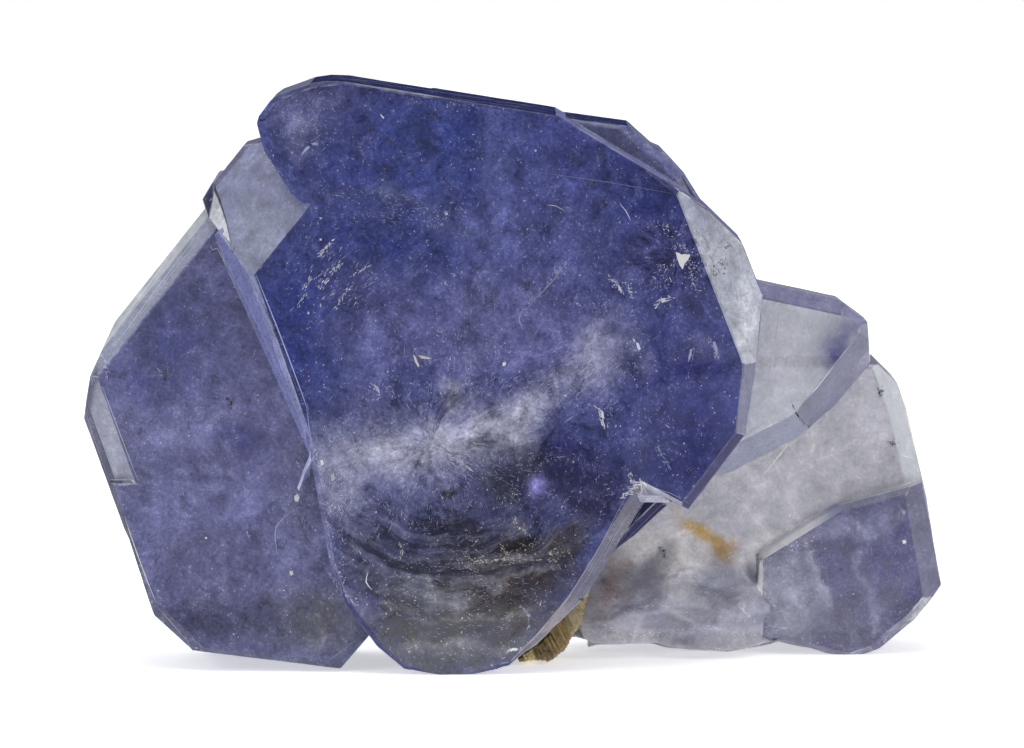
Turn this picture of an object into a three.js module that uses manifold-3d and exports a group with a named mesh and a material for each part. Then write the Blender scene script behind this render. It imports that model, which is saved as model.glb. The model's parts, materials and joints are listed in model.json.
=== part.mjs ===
// A cluster of tabular fluorapatite crystals with a little book of mica caught in it.
//
// Lengths are millimetres and angles are degrees. The cluster stands as it is usually shown: X runs to the right,
// Z runs up, and the large flat faces of the crystals look along -Y, towards the viewer.
//
// Each crystal is a flat plate with a front face, a back face and a ring of side faces. A side is told by the way
// that it faces, how far it reaches from the middle of the crystal, and the bevels between it and the front face.
// Its turn is counted anticlockwise from +X, as seen from the front.

import * as THREE from 'three';
import { ConvexGeometry } from 'three/addons/geometries/ConvexGeometry.js';
import { mergeVertices } from 'three/addons/utils/BufferGeometryUtils.js';
import Module from 'manifold-3d';

// Angles between the flat front face and the bevels round it. Apatite's pyramid faces have fixed angles.
const PYRAMID_SLOPE = 40.3;
const STEEP_SLOPE = 59.5;
const WALL_EDGE_SLOPE = 50;
const WALL_SLOPE = 68;

// How deep each crystal's front and back faces lie. The front of the main crystal is nearest to the viewer.
const MAIN_FRONT = -8;
const MAIN_BACK = 4.2;
const LOWER_LOBE_BACK = 3.4;
const UPPER_LOBE_BACK = 2.6;
const SHOULDER_FRONT = -7.6;
const NOTCH_FRONT = -6.6;
const NOTCH_BACK = 2.4;
const LEFT_FRONT = -5.2;
const LEFT_BACK = 5;
const LEFT_HALF_BACK = 3.8;
const CORNER_FRONT = -3.6;
const CORNER_BACK = 3.2;
const UPPER_FRONT = -2.5;
const UPPER_BACK = 6;
const STEP_FRONT = -0.9;
const STEP_BACK = 5;
const PALE_FRONT = -0.5;
const PALE_BACK = 7.6;
const FAR_FRONT = 2.6;
const FAR_BACK = 9.6;
const BLUE_FRONT = 1.3;
const BLUE_BACK = 8.4;
const BROKEN_FRONT = -1.4;
const BROKEN_BACK = 8;

// Three crystals did not grow quite parallel to the main one: they lean back, and swing to the left.
const LEFT_LEAN = 6;
const PALE_TURN = { lean: 3, swing: -2 };
const FAR_TURN = { lean: -1.5, swing: 1.5 };

// Bevel round the back face of every crystal, the room left round the mica, and the floor that the cluster stands on.
const BACK_BEVEL = 0.9;
const MICA_GAP = 0.3;
const FLOOR = 0;
const FLOOR_BLOCK = 80;

// The broken face is a relief over this stretch of X and Z, with a point at each step.
const BROKEN_SPAN = { left: 3.6, right: 26.6, low: -1, high: 11, step: 0.5 };

// Points closer than this are one corner, and a point this far outside a face is not part of the crystal.
const CORNER_TOLERANCE = 1e-4;

const wasm = await Module();
wasm.setup();

// A side face: the way it faces, its reach, and its bevels from the front face outwards, each a width and a slope.
function side(turn, reach, ...bevels) {
  return { turn, reach, bevels };
}

function bevel(width, slope = PYRAMID_SLOPE) {
  return { width, slope };
}

// The plane with this normal that goes through a point this far along the direction of the turn, at this depth.
function facePlane(middle, turn, reach, depth, slope, facing) {
  const across = Math.sin(slope);
  const normal = new THREE.Vector3(Math.cos(turn) * across, facing * Math.cos(slope), Math.sin(turn) * across);
  const foot = new THREE.Vector3(middle[0] + reach * Math.cos(turn), depth, middle[1] + reach * Math.sin(turn));
  return new THREE.Plane().setFromNormalAndCoplanarPoint(normal, foot);
}

// All the flat faces of a crystal as planes that point out of it. Growing it moves every face out by the same amount.
function crystalPlanes({ middle, front, back, sides, grow = 0 }) {
  const upright = Math.PI / 2;
  const planes = [facePlane(middle, 0, 0, front - grow, 0, -1), facePlane(middle, 0, 0, back + grow, 0, 1)];
  for (const { turn, reach, bevels } of sides) {
    const angle = THREE.MathUtils.degToRad(turn);
    const backSlope = THREE.MathUtils.degToRad(PYRAMID_SLOPE);
    planes.push(facePlane(middle, angle, reach + grow, 0, upright, 0));
    planes.push(facePlane(middle, angle, reach + grow - BACK_BEVEL, back + grow, backSlope, 1));
    let edge = reach + grow - bevels.reduce((sum, step) => sum + step.width, 0);
    let depth = front - grow;
    for (const { width, slope } of bevels) {
      const tilt = THREE.MathUtils.degToRad(slope);
      planes.push(facePlane(middle, angle, edge, depth, tilt, -1));
      edge += width;
      depth += width * Math.tan(tilt);
    }
  }
  return planes;
}

// The corners of the convex solid that a set of planes encloses.
function cornersOf(planes) {
  const corners = [];
  const meeting = new THREE.Vector3();
  const matrix = new THREE.Matrix3();
  for (let i = 0; i < planes.length; i += 1) {
    for (let j = i + 1; j < planes.length; j += 1) {
      for (let k = j + 1; k < planes.length; k += 1) {
        const [a, b, c] = [planes[i], planes[j], planes[k]];
        matrix.set(...a.normal, ...b.normal, ...c.normal);
        if (Math.abs(matrix.determinant()) < CORNER_TOLERANCE) continue;
        meeting.set(-a.constant, -b.constant, -c.constant).applyMatrix3(matrix.invert());
        const inside = planes.every((plane) => plane.distanceToPoint(meeting) < CORNER_TOLERANCE);
        const isNew = corners.every((corner) => corner.distanceTo(meeting) > CORNER_TOLERANCE * 10);
        if (inside && isNew) corners.push(meeting.clone());
      }
    }
  }
  return corners;
}

// A solid for cutting and joining, made from a closed geometry.
function solidOf(geometry) {
  const bare = geometry.clone();
  bare.deleteAttribute('normal');
  bare.deleteAttribute('uv');
  const merged = mergeVertices(bare, CORNER_TOLERANCE);
  const mesh = new wasm.Mesh({
    numProp: 3,
    vertProperties: new Float32Array(merged.attributes.position.array),
    triVerts: new Uint32Array(merged.index.array),
  });
  return new wasm.Manifold(mesh);
}

function geometryOf(solid) {
  const { vertProperties, triVerts, numProp } = solid.getMesh();
  const points = new Float32Array((vertProperties.length / numProp) * 3);
  for (let i = 0; i < points.length / 3; i += 1) {
    points.set(vertProperties.subarray(i * numProp, i * numProp + 3), i * 3);
  }
  const geometry = new THREE.BufferGeometry();
  geometry.setAttribute('position', new THREE.BufferAttribute(points, 3));
  geometry.setIndex(new THREE.BufferAttribute(new Uint32Array(triVerts), 1));
  return geometry;
}

function joined(solids) {
  return solids.reduce((whole, next) => whole.add(next));
}

// One crystal, leaned back and turned about the middle of its front face where it did not grow quite parallel.
function crystal(shape) {
  const { middle, front, lean = 0, swing = 0 } = shape;
  const pivot = new THREE.Vector3(middle[0], front, middle[1]);
  const turning = new THREE.Euler(THREE.MathUtils.degToRad(-lean), 0, THREE.MathUtils.degToRad(swing));
  const corners = cornersOf(crystalPlanes(shape));
  for (const corner of corners) corner.sub(pivot).applyEuler(turning).add(pivot);
  return solidOf(new ConvexGeometry(corners));
}

// The left wall of the main crystal steps down to the left crystal in a narrow bevel and a steep one.
const LEFT_WALL = [bevel(0.4, WALL_EDGE_SLOPE), bevel(1.5, WALL_SLOPE)];

// The large front crystal: its top edge is finely stepped, its right side and its upper left have wide bevels.
function mainCrystal() {
  return crystal({
    middle: [-0.8, 23.9],
    front: MAIN_FRONT,
    back: MAIN_BACK,
    sides: [
      side(81, 14.4, bevel(0.15)),
      side(59, 13.95, bevel(0.1)),
      side(53, 14.4, bevel(0.3)),
      side(46, 15.1, bevel(0.3)),
      side(30, 16.8, bevel(0.4)),
      side(21.5, 17.15, bevel(2.9)),
      side(-6, 17.5, bevel(0.9)),
      side(-9, 17.55, bevel(0.4)),
      side(-37, 17.8, bevel(0.65)),
      side(-117.8, 5.3, bevel(0.25)),
      side(-155.5, 15.45),
      side(-161, 15.4, bevel(0.85, WALL_SLOPE)),
      side(141, 20.9, bevel(5.7), bevel(0.35, STEEP_SLOPE)),
      side(106, 16, bevel(0.3)),
    ],
  });
}

// The stretch of the main crystal between its lower lobe and its left edge.
function mainLeftFlank() {
  return crystal({
    middle: [-0.8, 23.9],
    front: MAIN_FRONT,
    back: MAIN_BACK,
    sides: [
      side(141, 18.6, bevel(3.75)),
      side(60, 6, bevel(0.2)),
      side(-30, 8, bevel(0.2)),
      side(-100, 12, bevel(0.2)),
      side(-155.5, 15.45),
      side(-161, 16.5, ...LEFT_WALL),
    ],
  });
}

// The rounded lower lobe of the main crystal, with the long striated bevel down its right side.
function lowerLobe(grow = 0) {
  return crystal({
    middle: [-2.8, 10.3],
    front: MAIN_FRONT,
    back: LOWER_LOBE_BACK,
    grow,
    sides: [
      side(-31, 9.3, bevel(1)),
      side(-40, 9.2, bevel(0.9)),
      side(-46, 9.05, bevel(0.2)),
      side(-77, 10.45, bevel(0.3)),
      side(-90, 10.7, bevel(0.3)),
      side(-101, 10.9, bevel(0.3)),
      side(-130, 10.5, bevel(0.3)),
      side(-143, 10.1, bevel(0.3)),
      side(-160, 9.85, bevel(0.3)),
      side(-170, 9.85, bevel(0.3)),
      side(150, 12.5, bevel(0.3)),
      side(90, 8, bevel(0.3)),
      side(35, 11.5, bevel(0.3)),
    ],
  });
}

// The rounded upper left lobe of the main crystal.
function upperLobe() {
  return crystal({
    middle: [-11.6, 35.4],
    front: MAIN_FRONT,
    back: UPPER_LOBE_BACK,
    sides: [
      side(81, 4.75, bevel(0.15)),
      side(88, 4.75, bevel(0.2)),
      side(98, 4.85, bevel(0.3)),
      side(110, 5, bevel(0.3)),
      side(126, 5.5, bevel(0.3)),
      side(143, 5.75, bevel(0.3)),
      side(168, 5.8, bevel(0.3)),
      side(-167, 4.95, bevel(0.3)),
      side(-148, 4.3, bevel(0.5), bevel(0.5, STEEP_SLOPE)),
      side(-60, 7, bevel(0.3)),
      side(0, 7, bevel(0.3)),
    ],
  });
}

// The dark corner that sticks out at the far left of the main crystal.
function leftCorner() {
  return crystal({
    middle: [-19.2, 30.8],
    front: CORNER_FRONT,
    back: CORNER_BACK,
    sides: [
      side(149, 2.2, bevel(0.6, WALL_SLOPE)),
      side(-163, 1.5, bevel(0.6, WALL_SLOPE)),
      side(-138, 1.3, bevel(1.3)),
      side(-60, 4),
      side(15, 1.6),
      side(80, 2.6, bevel(1.6, STEEP_SLOPE)),
    ],
  });
}

// The left crystal, a little behind the main one, with a double bevel along its upper left edge.
function leftCrystal() {
  return crystal({
    middle: [-18.5, 15.6],
    front: LEFT_FRONT,
    back: LEFT_BACK,
    lean: LEFT_LEAN,
    sides: [
      side(141.5, 11.8, bevel(0.95), bevel(0.6, STEEP_SLOPE)),
      side(157, 11.1, bevel(0.5)),
      side(169, 10.85, bevel(0.5)),
      side(-160, 9.55, bevel(1.4), bevel(0.6, STEEP_SLOPE)),
      side(-150, 9.9, bevel(0.3)),
      side(-132, 12.8, bevel(0.7)),
      side(-97, 14.5, bevel(0.3)),
      side(-41, 15.3, bevel(0.85)),
      side(23, 4.7),
    ],
  });
}

// The lower half of the left crystal grew out further, with hardly a bevel.
function leftLowerHalf() {
  return crystal({
    middle: [-18.5, 15.6],
    front: LEFT_FRONT,
    back: LEFT_HALF_BACK,
    lean: LEFT_LEAN,
    sides: [
      side(-162, 9.2, bevel(0.25)),
      side(-132, 12.7, bevel(0.7)),
      side(-97, 14.45, bevel(0.3)),
      side(0, 4, bevel(0.3)),
      side(93, -2.2, bevel(0.3)),
    ],
  });
}

// The grey crystal that looks out behind the upper right edge of the main one, and the thin step below it.
function upperCrystal() {
  const face = crystal({
    middle: [7.3, 31.8],
    front: UPPER_FRONT,
    back: UPPER_BACK,
    sides: [
      side(82, 5.1, bevel(0.25)),
      side(48, 4.2, bevel(0.6)),
      side(26.5, 4.5, bevel(0.4)),
      side(-40, 8, bevel(0.3)),
      side(-99, 9, bevel(0.3)),
      side(-159, 6, bevel(0.3)),
      side(141, 7, bevel(0.3)),
    ],
  });
  const step = crystal({
    middle: [7.3, 31.8],
    front: STEP_FRONT,
    back: STEP_BACK,
    sides: [
      side(100, 3.6, bevel(0.2)),
      side(70, 4.2, bevel(0.2)),
      side(43, 4.4, bevel(0.2)),
      side(32, 4.7, bevel(0.2)),
      side(-40, 7, bevel(0.3)),
      side(-159, 6, bevel(0.3)),
    ],
  });
  return face.add(step);
}

// The nearer pale crystal on the right. Its wide lower right bevel and the bevel along its top show well.
function paleCrystal() {
  return crystal({
    middle: [17.7, 20],
    front: PALE_FRONT,
    back: PALE_BACK,
    ...PALE_TURN,
    sides: [
      side(78, 5.75, bevel(1)),
      side(53, 6.7, bevel(0.7)),
      side(5, 6.95, bevel(0.6)),
      side(-39, 5.1, bevel(1.2), bevel(0.7, STEEP_SLOPE)),
      side(-50, 4.85, bevel(1.2), bevel(0.3, STEEP_SLOPE)),
      side(-63, 5.1, bevel(1.1), bevel(0.6, STEEP_SLOPE)),
      side(-120, 8, bevel(0.4)),
      side(180, 8, bevel(0.4)),
      side(120, 9, bevel(0.4)),
    ],
  });
}

// The far pale crystal at the right end, with a bright bevel down its right side.
function farCrystal() {
  return crystal({
    middle: [21.3, 10.6],
    front: FAR_FRONT,
    back: FAR_BACK,
    ...FAR_TURN,
    sides: [
      side(90, 9.5, bevel(0.2)),
      side(45, 9.6, bevel(0.4)),
      side(19.5, 7.85, bevel(1.3)),
      side(13.5, 7.4, bevel(1.3)),
      side(9, 7.5, bevel(1.2)),
      side(-39, 10.5, bevel(0.6)),
      side(-50, 10.8, bevel(0.6)),
      side(-59, 11.2, bevel(0.5)),
      side(-71, 11.3, bevel(0.4)),
      side(-91, 10.9, bevel(0.4)),
      side(172, 14.4, bevel(0.4)),
      side(120, 13, bevel(0.4)),
    ],
  });
}

// The blue lower end of the far crystal stands in front of it as a layer of its own.
function blueLayer() {
  return crystal({
    middle: [24, 5.9],
    front: BLUE_FRONT,
    back: BLUE_BACK,
    sides: [
      side(122, 4.6, bevel(0.5)),
      side(105, 4.75, bevel(0.5)),
      side(10.5, 5.5, bevel(1.4)),
      side(-39, 5.25, bevel(0.6)),
      side(-50, 5.2, bevel(0.6)),
      side(-59, 5.5, bevel(0.5)),
      side(-71, 5.7, bevel(0.4)),
      side(-100, 6.2, bevel(0.4)),
      side(180, 7, bevel(0.4)),
    ],
  });
}

// The lump between the main crystal and the far one, before its face is broken.
function brokenLump() {
  return crystal({
    middle: [13, 4.2],
    front: BROKEN_FRONT,
    back: BROKEN_BACK,
    sides: [
      side(163, 8.2, bevel(0.5)),
      side(-109, 5.6, bevel(0.4)),
      side(-91, 3.7, bevel(0.6)),
      side(-80, 4.6, bevel(0.5)),
      side(-10, 11),
      side(90, 6.2),
    ],
  });
}

// The broken face leans back to the far crystal's face along its top and its right end. Its upper edge is wavy: each
// wave has a height, a rate along X and a start. Shallow shells hollow the face, with ripples round them.
const BROKEN_TOP = { low: 3.2, high: 8.4, rise: 4.4 };
const BROKEN_END = { near: 15.5, far: 22.5, rise: 4.6 };
const BROKEN_WAVES = [
  { height: 0.7, rate: 0.4, start: 0 },
  { height: 0.15, rate: 1.5, start: 1 },
];
const SHELLS = [
  { x: 8.4, z: 6.4, deep: 1.3, flare: 0.1 },
  { x: 10.6, z: 1.4, deep: 1, flare: 0.09 },
  { x: 13.8, z: 5.2, deep: 1.5, flare: 0.12 },
  { x: 17.4, z: 1.6, deep: 1.4, flare: 0.1 },
  { x: 19.4, z: 6, deep: 1.9, flare: 0.14 },
];
const SHELL_FLATNESS = 1.3;
const SHALLOWEST = 0.05;
const RIPPLE = { length: 2.8, height: 0.2 };

function brokenDepth(x, z) {
  const wave = BROKEN_WAVES.reduce((sum, { height, rate, start }) => sum + height * Math.sin(x * rate + start), 0);
  const top = BROKEN_TOP.rise * THREE.MathUtils.smoothstep(z + wave, BROKEN_TOP.low, BROKEN_TOP.high);
  const end = BROKEN_END.rise * THREE.MathUtils.smoothstep(x + wave, BROKEN_END.near, BROKEN_END.far);
  const shells = SHELLS.map((shell) => {
    const away = Math.hypot(x - shell.x, (z - shell.z) * SHELL_FLATNESS);
    const ripple = RIPPLE.height * Math.sin((away / RIPPLE.length) * Math.PI * 2);
    return shell.deep - shell.flare * away * away + ripple;
  });
  return BROKEN_FRONT + top + end + Math.max(SHALLOWEST, ...shells);
}

// A block behind a rippled broken face. What the lump shares with it is the lump with its face broken.
function brokenBlock() {
  const { left, right, low, high, step } = BROKEN_SPAN;
  const columns = Math.round((right - left) / step);
  const rows = Math.round((high - low) / step);
  const block = new THREE.BoxGeometry(right - left, BROKEN_BACK * 2, high - low, columns, 1, rows);
  block.translate((left + right) / 2, BROKEN_BACK, (low + high) / 2);
  const points = block.attributes.position;
  for (let i = 0; i < points.count; i += 1) {
    if (points.getY(i) < CORNER_TOLERANCE) points.setY(i, brokenDepth(points.getX(i), points.getZ(i)));
  }
  return solidOf(block);
}

// The pale shoulder right under the notch in the main crystal's lower right.
function notchShoulder() {
  return crystal({
    middle: [10, 12.2],
    front: SHOULDER_FRONT,
    back: NOTCH_BACK,
    sides: [
      side(-93, 0.52, bevel(0.4)),
      side(-65, 0.78, bevel(0.4)),
      side(180, 3),
      side(90, 0.6),
      side(30, 2.2),
    ],
  });
}

// The steep dark face beside the lobe's long bevel, below the shoulder.
function notchFace() {
  return crystal({
    middle: [8.8, 12],
    front: NOTCH_FRONT,
    back: NOTCH_BACK,
    sides: [
      side(-45, 1.45, bevel(0.5, STEEP_SLOPE)),
      side(-135, 4.6),
      side(180, 4),
      side(90, 0),
      side(20, 2),
    ],
  });
}

function floorBlock() {
  const block = new THREE.BoxGeometry(FLOOR_BLOCK, FLOOR_BLOCK, FLOOR_BLOCK);
  block.translate(0, 0, FLOOR - FLOOR_BLOCK / 2);
  return solidOf(block);
}

// A book of mica: sheets stacked along its thickness, each with its own width and height, so that their edges make
// steps. The two sizes waver from sheet to sheet by a swing at a rate of their own.
const MICA = {
  middle: [2.2, -1.6, 2],
  sheets: 7,
  sheet: 0.55,
  spacing: 0.54,
  roll: -27,
  wide: { half: 1.7, swing: 0.35, rate: 2.4 },
  high: { half: 2.6, swing: 0.5, rate: 1.7 },
};

// The corners of a sheet, as shares of its half width and half height.
const SHEET_OUTLINE = [
  [-1, -0.6],
  [-0.3, -1],
  [0.8, -0.8],
  [1, 0.3],
  [0.4, 1],
  [-0.8, 0.7],
];

function micaSheets(grow = 0) {
  const sheets = [];
  for (let i = 0; i < MICA.sheets; i += 1) {
    const wide = MICA.wide.half + MICA.wide.swing * Math.sin(i * MICA.wide.rate) + grow;
    const high = MICA.high.half + MICA.high.swing * Math.cos(i * MICA.high.rate) + grow;
    const outline = new THREE.Shape(SHEET_OUTLINE.map(([across, up]) => new THREE.Vector2(wide * across, high * up)));
    const sheet = new THREE.ExtrudeGeometry(outline, { depth: MICA.sheet + 2 * grow, bevelEnabled: false });
    sheet.rotateX(Math.PI / 2);
    sheet.rotateZ(Math.PI / 2);
    sheet.translate((i - MICA.sheets / 2) * MICA.spacing - grow, 0, 0);
    sheet.rotateY(THREE.MathUtils.degToRad(MICA.roll));
    sheet.translate(...MICA.middle);
    sheets.push(solidOf(sheet));
  }
  return joined(sheets);
}

function micaBook() {
  return micaSheets().subtract(lowerLobe(MICA_GAP)).subtract(floorBlock());
}

// All the intergrown crystals as one solid, broken and chipped, with a socket for the mica and a flat foot.
function crystalCluster() {
  const behind = joined([
    mainCrystal(),
    mainLeftFlank(),
    upperLobe(),
    notchShoulder(),
    notchFace(),
    leftCorner(),
    leftCrystal(),
    leftLowerHalf(),
    upperCrystal(),
    paleCrystal(),
    farCrystal(),
    blueLayer(),
    brokenLump().intersect(brokenBlock()),
  ]);
  return behind.subtract(micaSheets(MICA_GAP)).add(lowerLobe()).subtract(floorBlock());
}

function mesh(name, solid, look) {
  const part = new THREE.Mesh(geometryOf(solid), new THREE.MeshStandardMaterial(look));
  part.name = name;
  return part;
}

// The cluster stands over the middle of its own outline.
const STANDING_POINT = { x: 0.3, y: 1 };

const cluster = new THREE.Group();
cluster.position.set(-STANDING_POINT.x, -STANDING_POINT.y, FLOOR);
cluster.add(mesh('crystal_cluster', crystalCluster(), { color: 0x5a5f9a, roughness: 0.15, metalness: 0 }));
cluster.add(mesh('mica_book', micaBook(), { color: 0x7a6c3c, roughness: 0.4, metalness: 0 }));

export default cluster;
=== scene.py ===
"""Fluorapatite crystal cluster: clear to milky blue-violet crystals, with a book of mica at the foot."""

import json
import logging
import math
from dataclasses import dataclass, field
from enum import Enum
from typing import Any, Sequence

import bmesh
import bpy
import numpy as np
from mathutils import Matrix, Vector
from mathutils.bvhtree import BVHTree

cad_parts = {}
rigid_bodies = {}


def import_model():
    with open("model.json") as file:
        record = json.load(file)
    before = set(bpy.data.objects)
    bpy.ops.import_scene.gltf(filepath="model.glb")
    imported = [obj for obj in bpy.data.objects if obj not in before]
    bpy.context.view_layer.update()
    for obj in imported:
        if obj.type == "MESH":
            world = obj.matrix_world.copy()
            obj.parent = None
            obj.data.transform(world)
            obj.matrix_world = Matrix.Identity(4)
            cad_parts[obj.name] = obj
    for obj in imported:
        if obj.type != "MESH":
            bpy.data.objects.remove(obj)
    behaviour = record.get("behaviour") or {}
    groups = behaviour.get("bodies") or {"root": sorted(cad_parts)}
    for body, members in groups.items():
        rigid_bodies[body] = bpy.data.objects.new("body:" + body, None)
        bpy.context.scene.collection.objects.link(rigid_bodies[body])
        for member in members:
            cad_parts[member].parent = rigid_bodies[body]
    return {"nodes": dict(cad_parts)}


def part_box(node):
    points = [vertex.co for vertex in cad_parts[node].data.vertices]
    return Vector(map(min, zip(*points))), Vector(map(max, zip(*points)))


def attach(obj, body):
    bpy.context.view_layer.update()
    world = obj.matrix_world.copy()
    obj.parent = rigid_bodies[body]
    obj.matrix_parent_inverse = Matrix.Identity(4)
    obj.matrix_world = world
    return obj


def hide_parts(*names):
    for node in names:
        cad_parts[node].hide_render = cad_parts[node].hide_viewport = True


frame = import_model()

LOG = logging.getLogger("cluster")
MM = 0.001
APATITE_IOR = 1.633
MICA_IOR = 1.58

Tint = tuple[float, float, float]
Pixel = tuple[float, float]


def tint(red: int, green: int, blue: int) -> Tint:
    """Turns a screen colour from 0 to 255 into the linear one that a shader takes.

    Args:
        red: red part.
        green: green part.
        blue: blue part.

    Returns:
        The three linear parts, from 0 to 1.
    """
    parts = []
    for part in (red, green, blue):
        level = part / 255
        parts.append(level / 12.92 if level < 0.04045 else ((level + 0.055) / 1.055) ** 2.4)
    return tuple(parts)


# Colours of apatite, its inclusions and its stains, and of the painted edge glint

INK = tint(34, 40, 92)
NAVY = tint(48, 56, 112)
VIOLET = tint(74, 79, 130)
MIST = tint(130, 132, 162)
MILK = tint(176, 178, 196)
# Painted highlight of the thin edge strips
EDGE_GLINT = tint(190, 194, 205)
SMOKE = tint(62, 62, 80)
ASH = tint(96, 96, 108)
BROWN = tint(58, 46, 42)
MAUVE = tint(138, 134, 152)
WHITE = tint(235, 236, 238)
PALE_BLUE = tint(186, 194, 234)
OLIVE = tint(112, 106, 74)


@dataclass(frozen=True)
class Sight:
    """The picture's own ruler: the camera's place and what a pixel is worth at the front crystal's face."""

    target: tuple[float, float, float] = (-0.3, -9.0, 20.46)
    distance: float = 383.0
    tilt: float = math.radians(5.5)
    pixel: float = 0.0673
    centre: Pixel = (512.0, 374.0)
    lens: float = 200.0
    film: float = 36.0

    def eye(self) -> Vector:
        """Place of the camera, in mm."""
        back = Vector((0.0, -math.cos(self.tilt), math.sin(self.tilt)))
        return Vector(self.target) + back * self.distance

    def picture(self, points: np.ndarray) -> np.ndarray:
        """Projects points into the picture.

        Args:
            points: places in mm, one row each.

        Returns:
            Pixel coordinates, one row each.
        """
        back = points[:, 1] - self.target[1]
        up = points[:, 2] - self.target[2]
        depth = self.distance + back * math.cos(self.tilt) - up * math.sin(self.tilt)
        size = self.pixel * depth / self.distance
        across = self.centre[0] + (points[:, 0] - self.target[0]) / size
        down = self.centre[1] - (up * math.cos(self.tilt) + back * math.sin(self.tilt)) / size
        return np.stack([across, down], axis=1)

    def ray(self, spot: Pixel) -> Vector:
        """Direction in which the camera sees a pixel."""
        ahead = Vector((0.0, math.cos(self.tilt), -math.sin(self.tilt)))
        above = Vector((0.0, math.sin(self.tilt), math.cos(self.tilt)))
        across = (spot[0] - self.centre[0]) * self.pixel / self.distance
        down = (self.centre[1] - spot[1]) * self.pixel / self.distance
        return (ahead + Vector((1.0, 0.0, 0.0)) * across + above * down).normalized()

    def place(self, spot: Pixel, depth: float) -> Vector:
        """Place in mm that shows at a pixel and lies at a depth along Y."""
        ray = self.ray(spot)
        return self.eye() + ray * ((depth - self.eye().y) / ray.y)

    def camera(self) -> bpy.types.Object:
        """Adds the camera and makes it the scene's own.

        Returns:
            The camera's object.
        """
        bpy.ops.object.camera_add(location=self.eye() * MM, rotation=(math.pi / 2 - self.tilt, 0, 0))
        camera = bpy.context.object
        camera.name = "camera"
        camera.data.lens = self.lens
        camera.data.sensor_width = self.film
        camera.data.clip_start = 0.01
        bpy.context.scene.camera = camera
        return camera


SIGHT = Sight()


class Noise:
    """Gradient noise on arrays of points, always the same for one seed."""

    def __init__(self, seed: int) -> None:
        """Draws the lattice's order and its slopes."""
        random = np.random.default_rng(seed)
        order = random.permutation(256)
        self.order = np.concatenate([order, order, order])
        slopes = random.normal(size=(256, 3))
        self.slopes = slopes / np.linalg.norm(slopes, axis=1)[:, None]

    def at(self, points: np.ndarray) -> np.ndarray:
        """Noise at points whose unit is one lattice cell.

        Args:
            points: places, one row each.

        Returns:
            Values between about -1 and 1.
        """
        cell = np.floor(points).astype(int)
        inside = points - cell
        ease = inside ** 3 * (inside * (inside * 6 - 15) + 10)
        total = np.zeros(len(points))
        for corner in range(8):
            step = np.array([corner & 1, corner >> 1 & 1, corner >> 2 & 1])
            at = (cell + step) & 255
            pick = self.order[self.order[self.order[at[:, 0]] + at[:, 1]] + at[:, 2]]
            slope = np.einsum("ij,ij->i", self.slopes[pick], inside - step)
            total += slope * np.prod(np.where(step == 1, ease, 1 - ease), axis=1)
        return total * 1.6

    def layered(self, points: np.ndarray, size: float, layers: int = 3, keep: float = 0.55) -> np.ndarray:
        """Sum of noises, each twice as fine as the one before.

        Args:
            points: places in mm.
            size: width of the coarsest cell, in mm.
            layers: how many noises are added.
            keep: strength of each layer against the one before.

        Returns:
            Values between about -1 and 1.
        """
        total = np.zeros(len(points))
        strength = 1.0
        for layer in range(layers):
            total += strength * self.at(points / size * 2 ** layer + 17.3 * layer)
            strength *= keep
        return total


# Shader nodes

class Value:
    """A number socket of a shader. Sums and products of values add their Math nodes."""

    def __init__(self, board: "Board", socket: bpy.types.NodeSocket) -> None:
        """Keeps the socket and the board that holds it."""
        self.board = board
        self.socket = socket

    def _math(self, operation: str, *others: Any) -> "Value":
        """Adds one Math node on this value and the others."""
        return self.board.value("ShaderNodeMath", {"operation": operation}, [self, *others])

    def __add__(self, other: Any) -> "Value":
        """Sum."""
        return self._math("ADD", other)

    __radd__ = __add__

    def __mul__(self, other: Any) -> "Value":
        """Product."""
        return self._math("MULTIPLY", other)

    __rmul__ = __mul__

    def __sub__(self, other: Any) -> "Value":
        """Difference."""
        return self._math("SUBTRACT", other)

    def __rsub__(self, other: Any) -> "Value":
        """Difference from a plain number."""
        return self.board.value("ShaderNodeMath", {"operation": "SUBTRACT"}, [other, self])

    def size(self) -> "Value":
        """This value without its sign."""
        return self._math("ABSOLUTE")

    def ramp(self, low: float, high: float, start: float = 0.0, end: float = 1.0) -> "Value":
        """Smooth step of this value from start, below low, to end, above high."""
        settings = {"interpolation_type": "SMOOTHSTEP"}
        return self.board.value("ShaderNodeMapRange", settings, [self, low, high, start, end])


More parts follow.
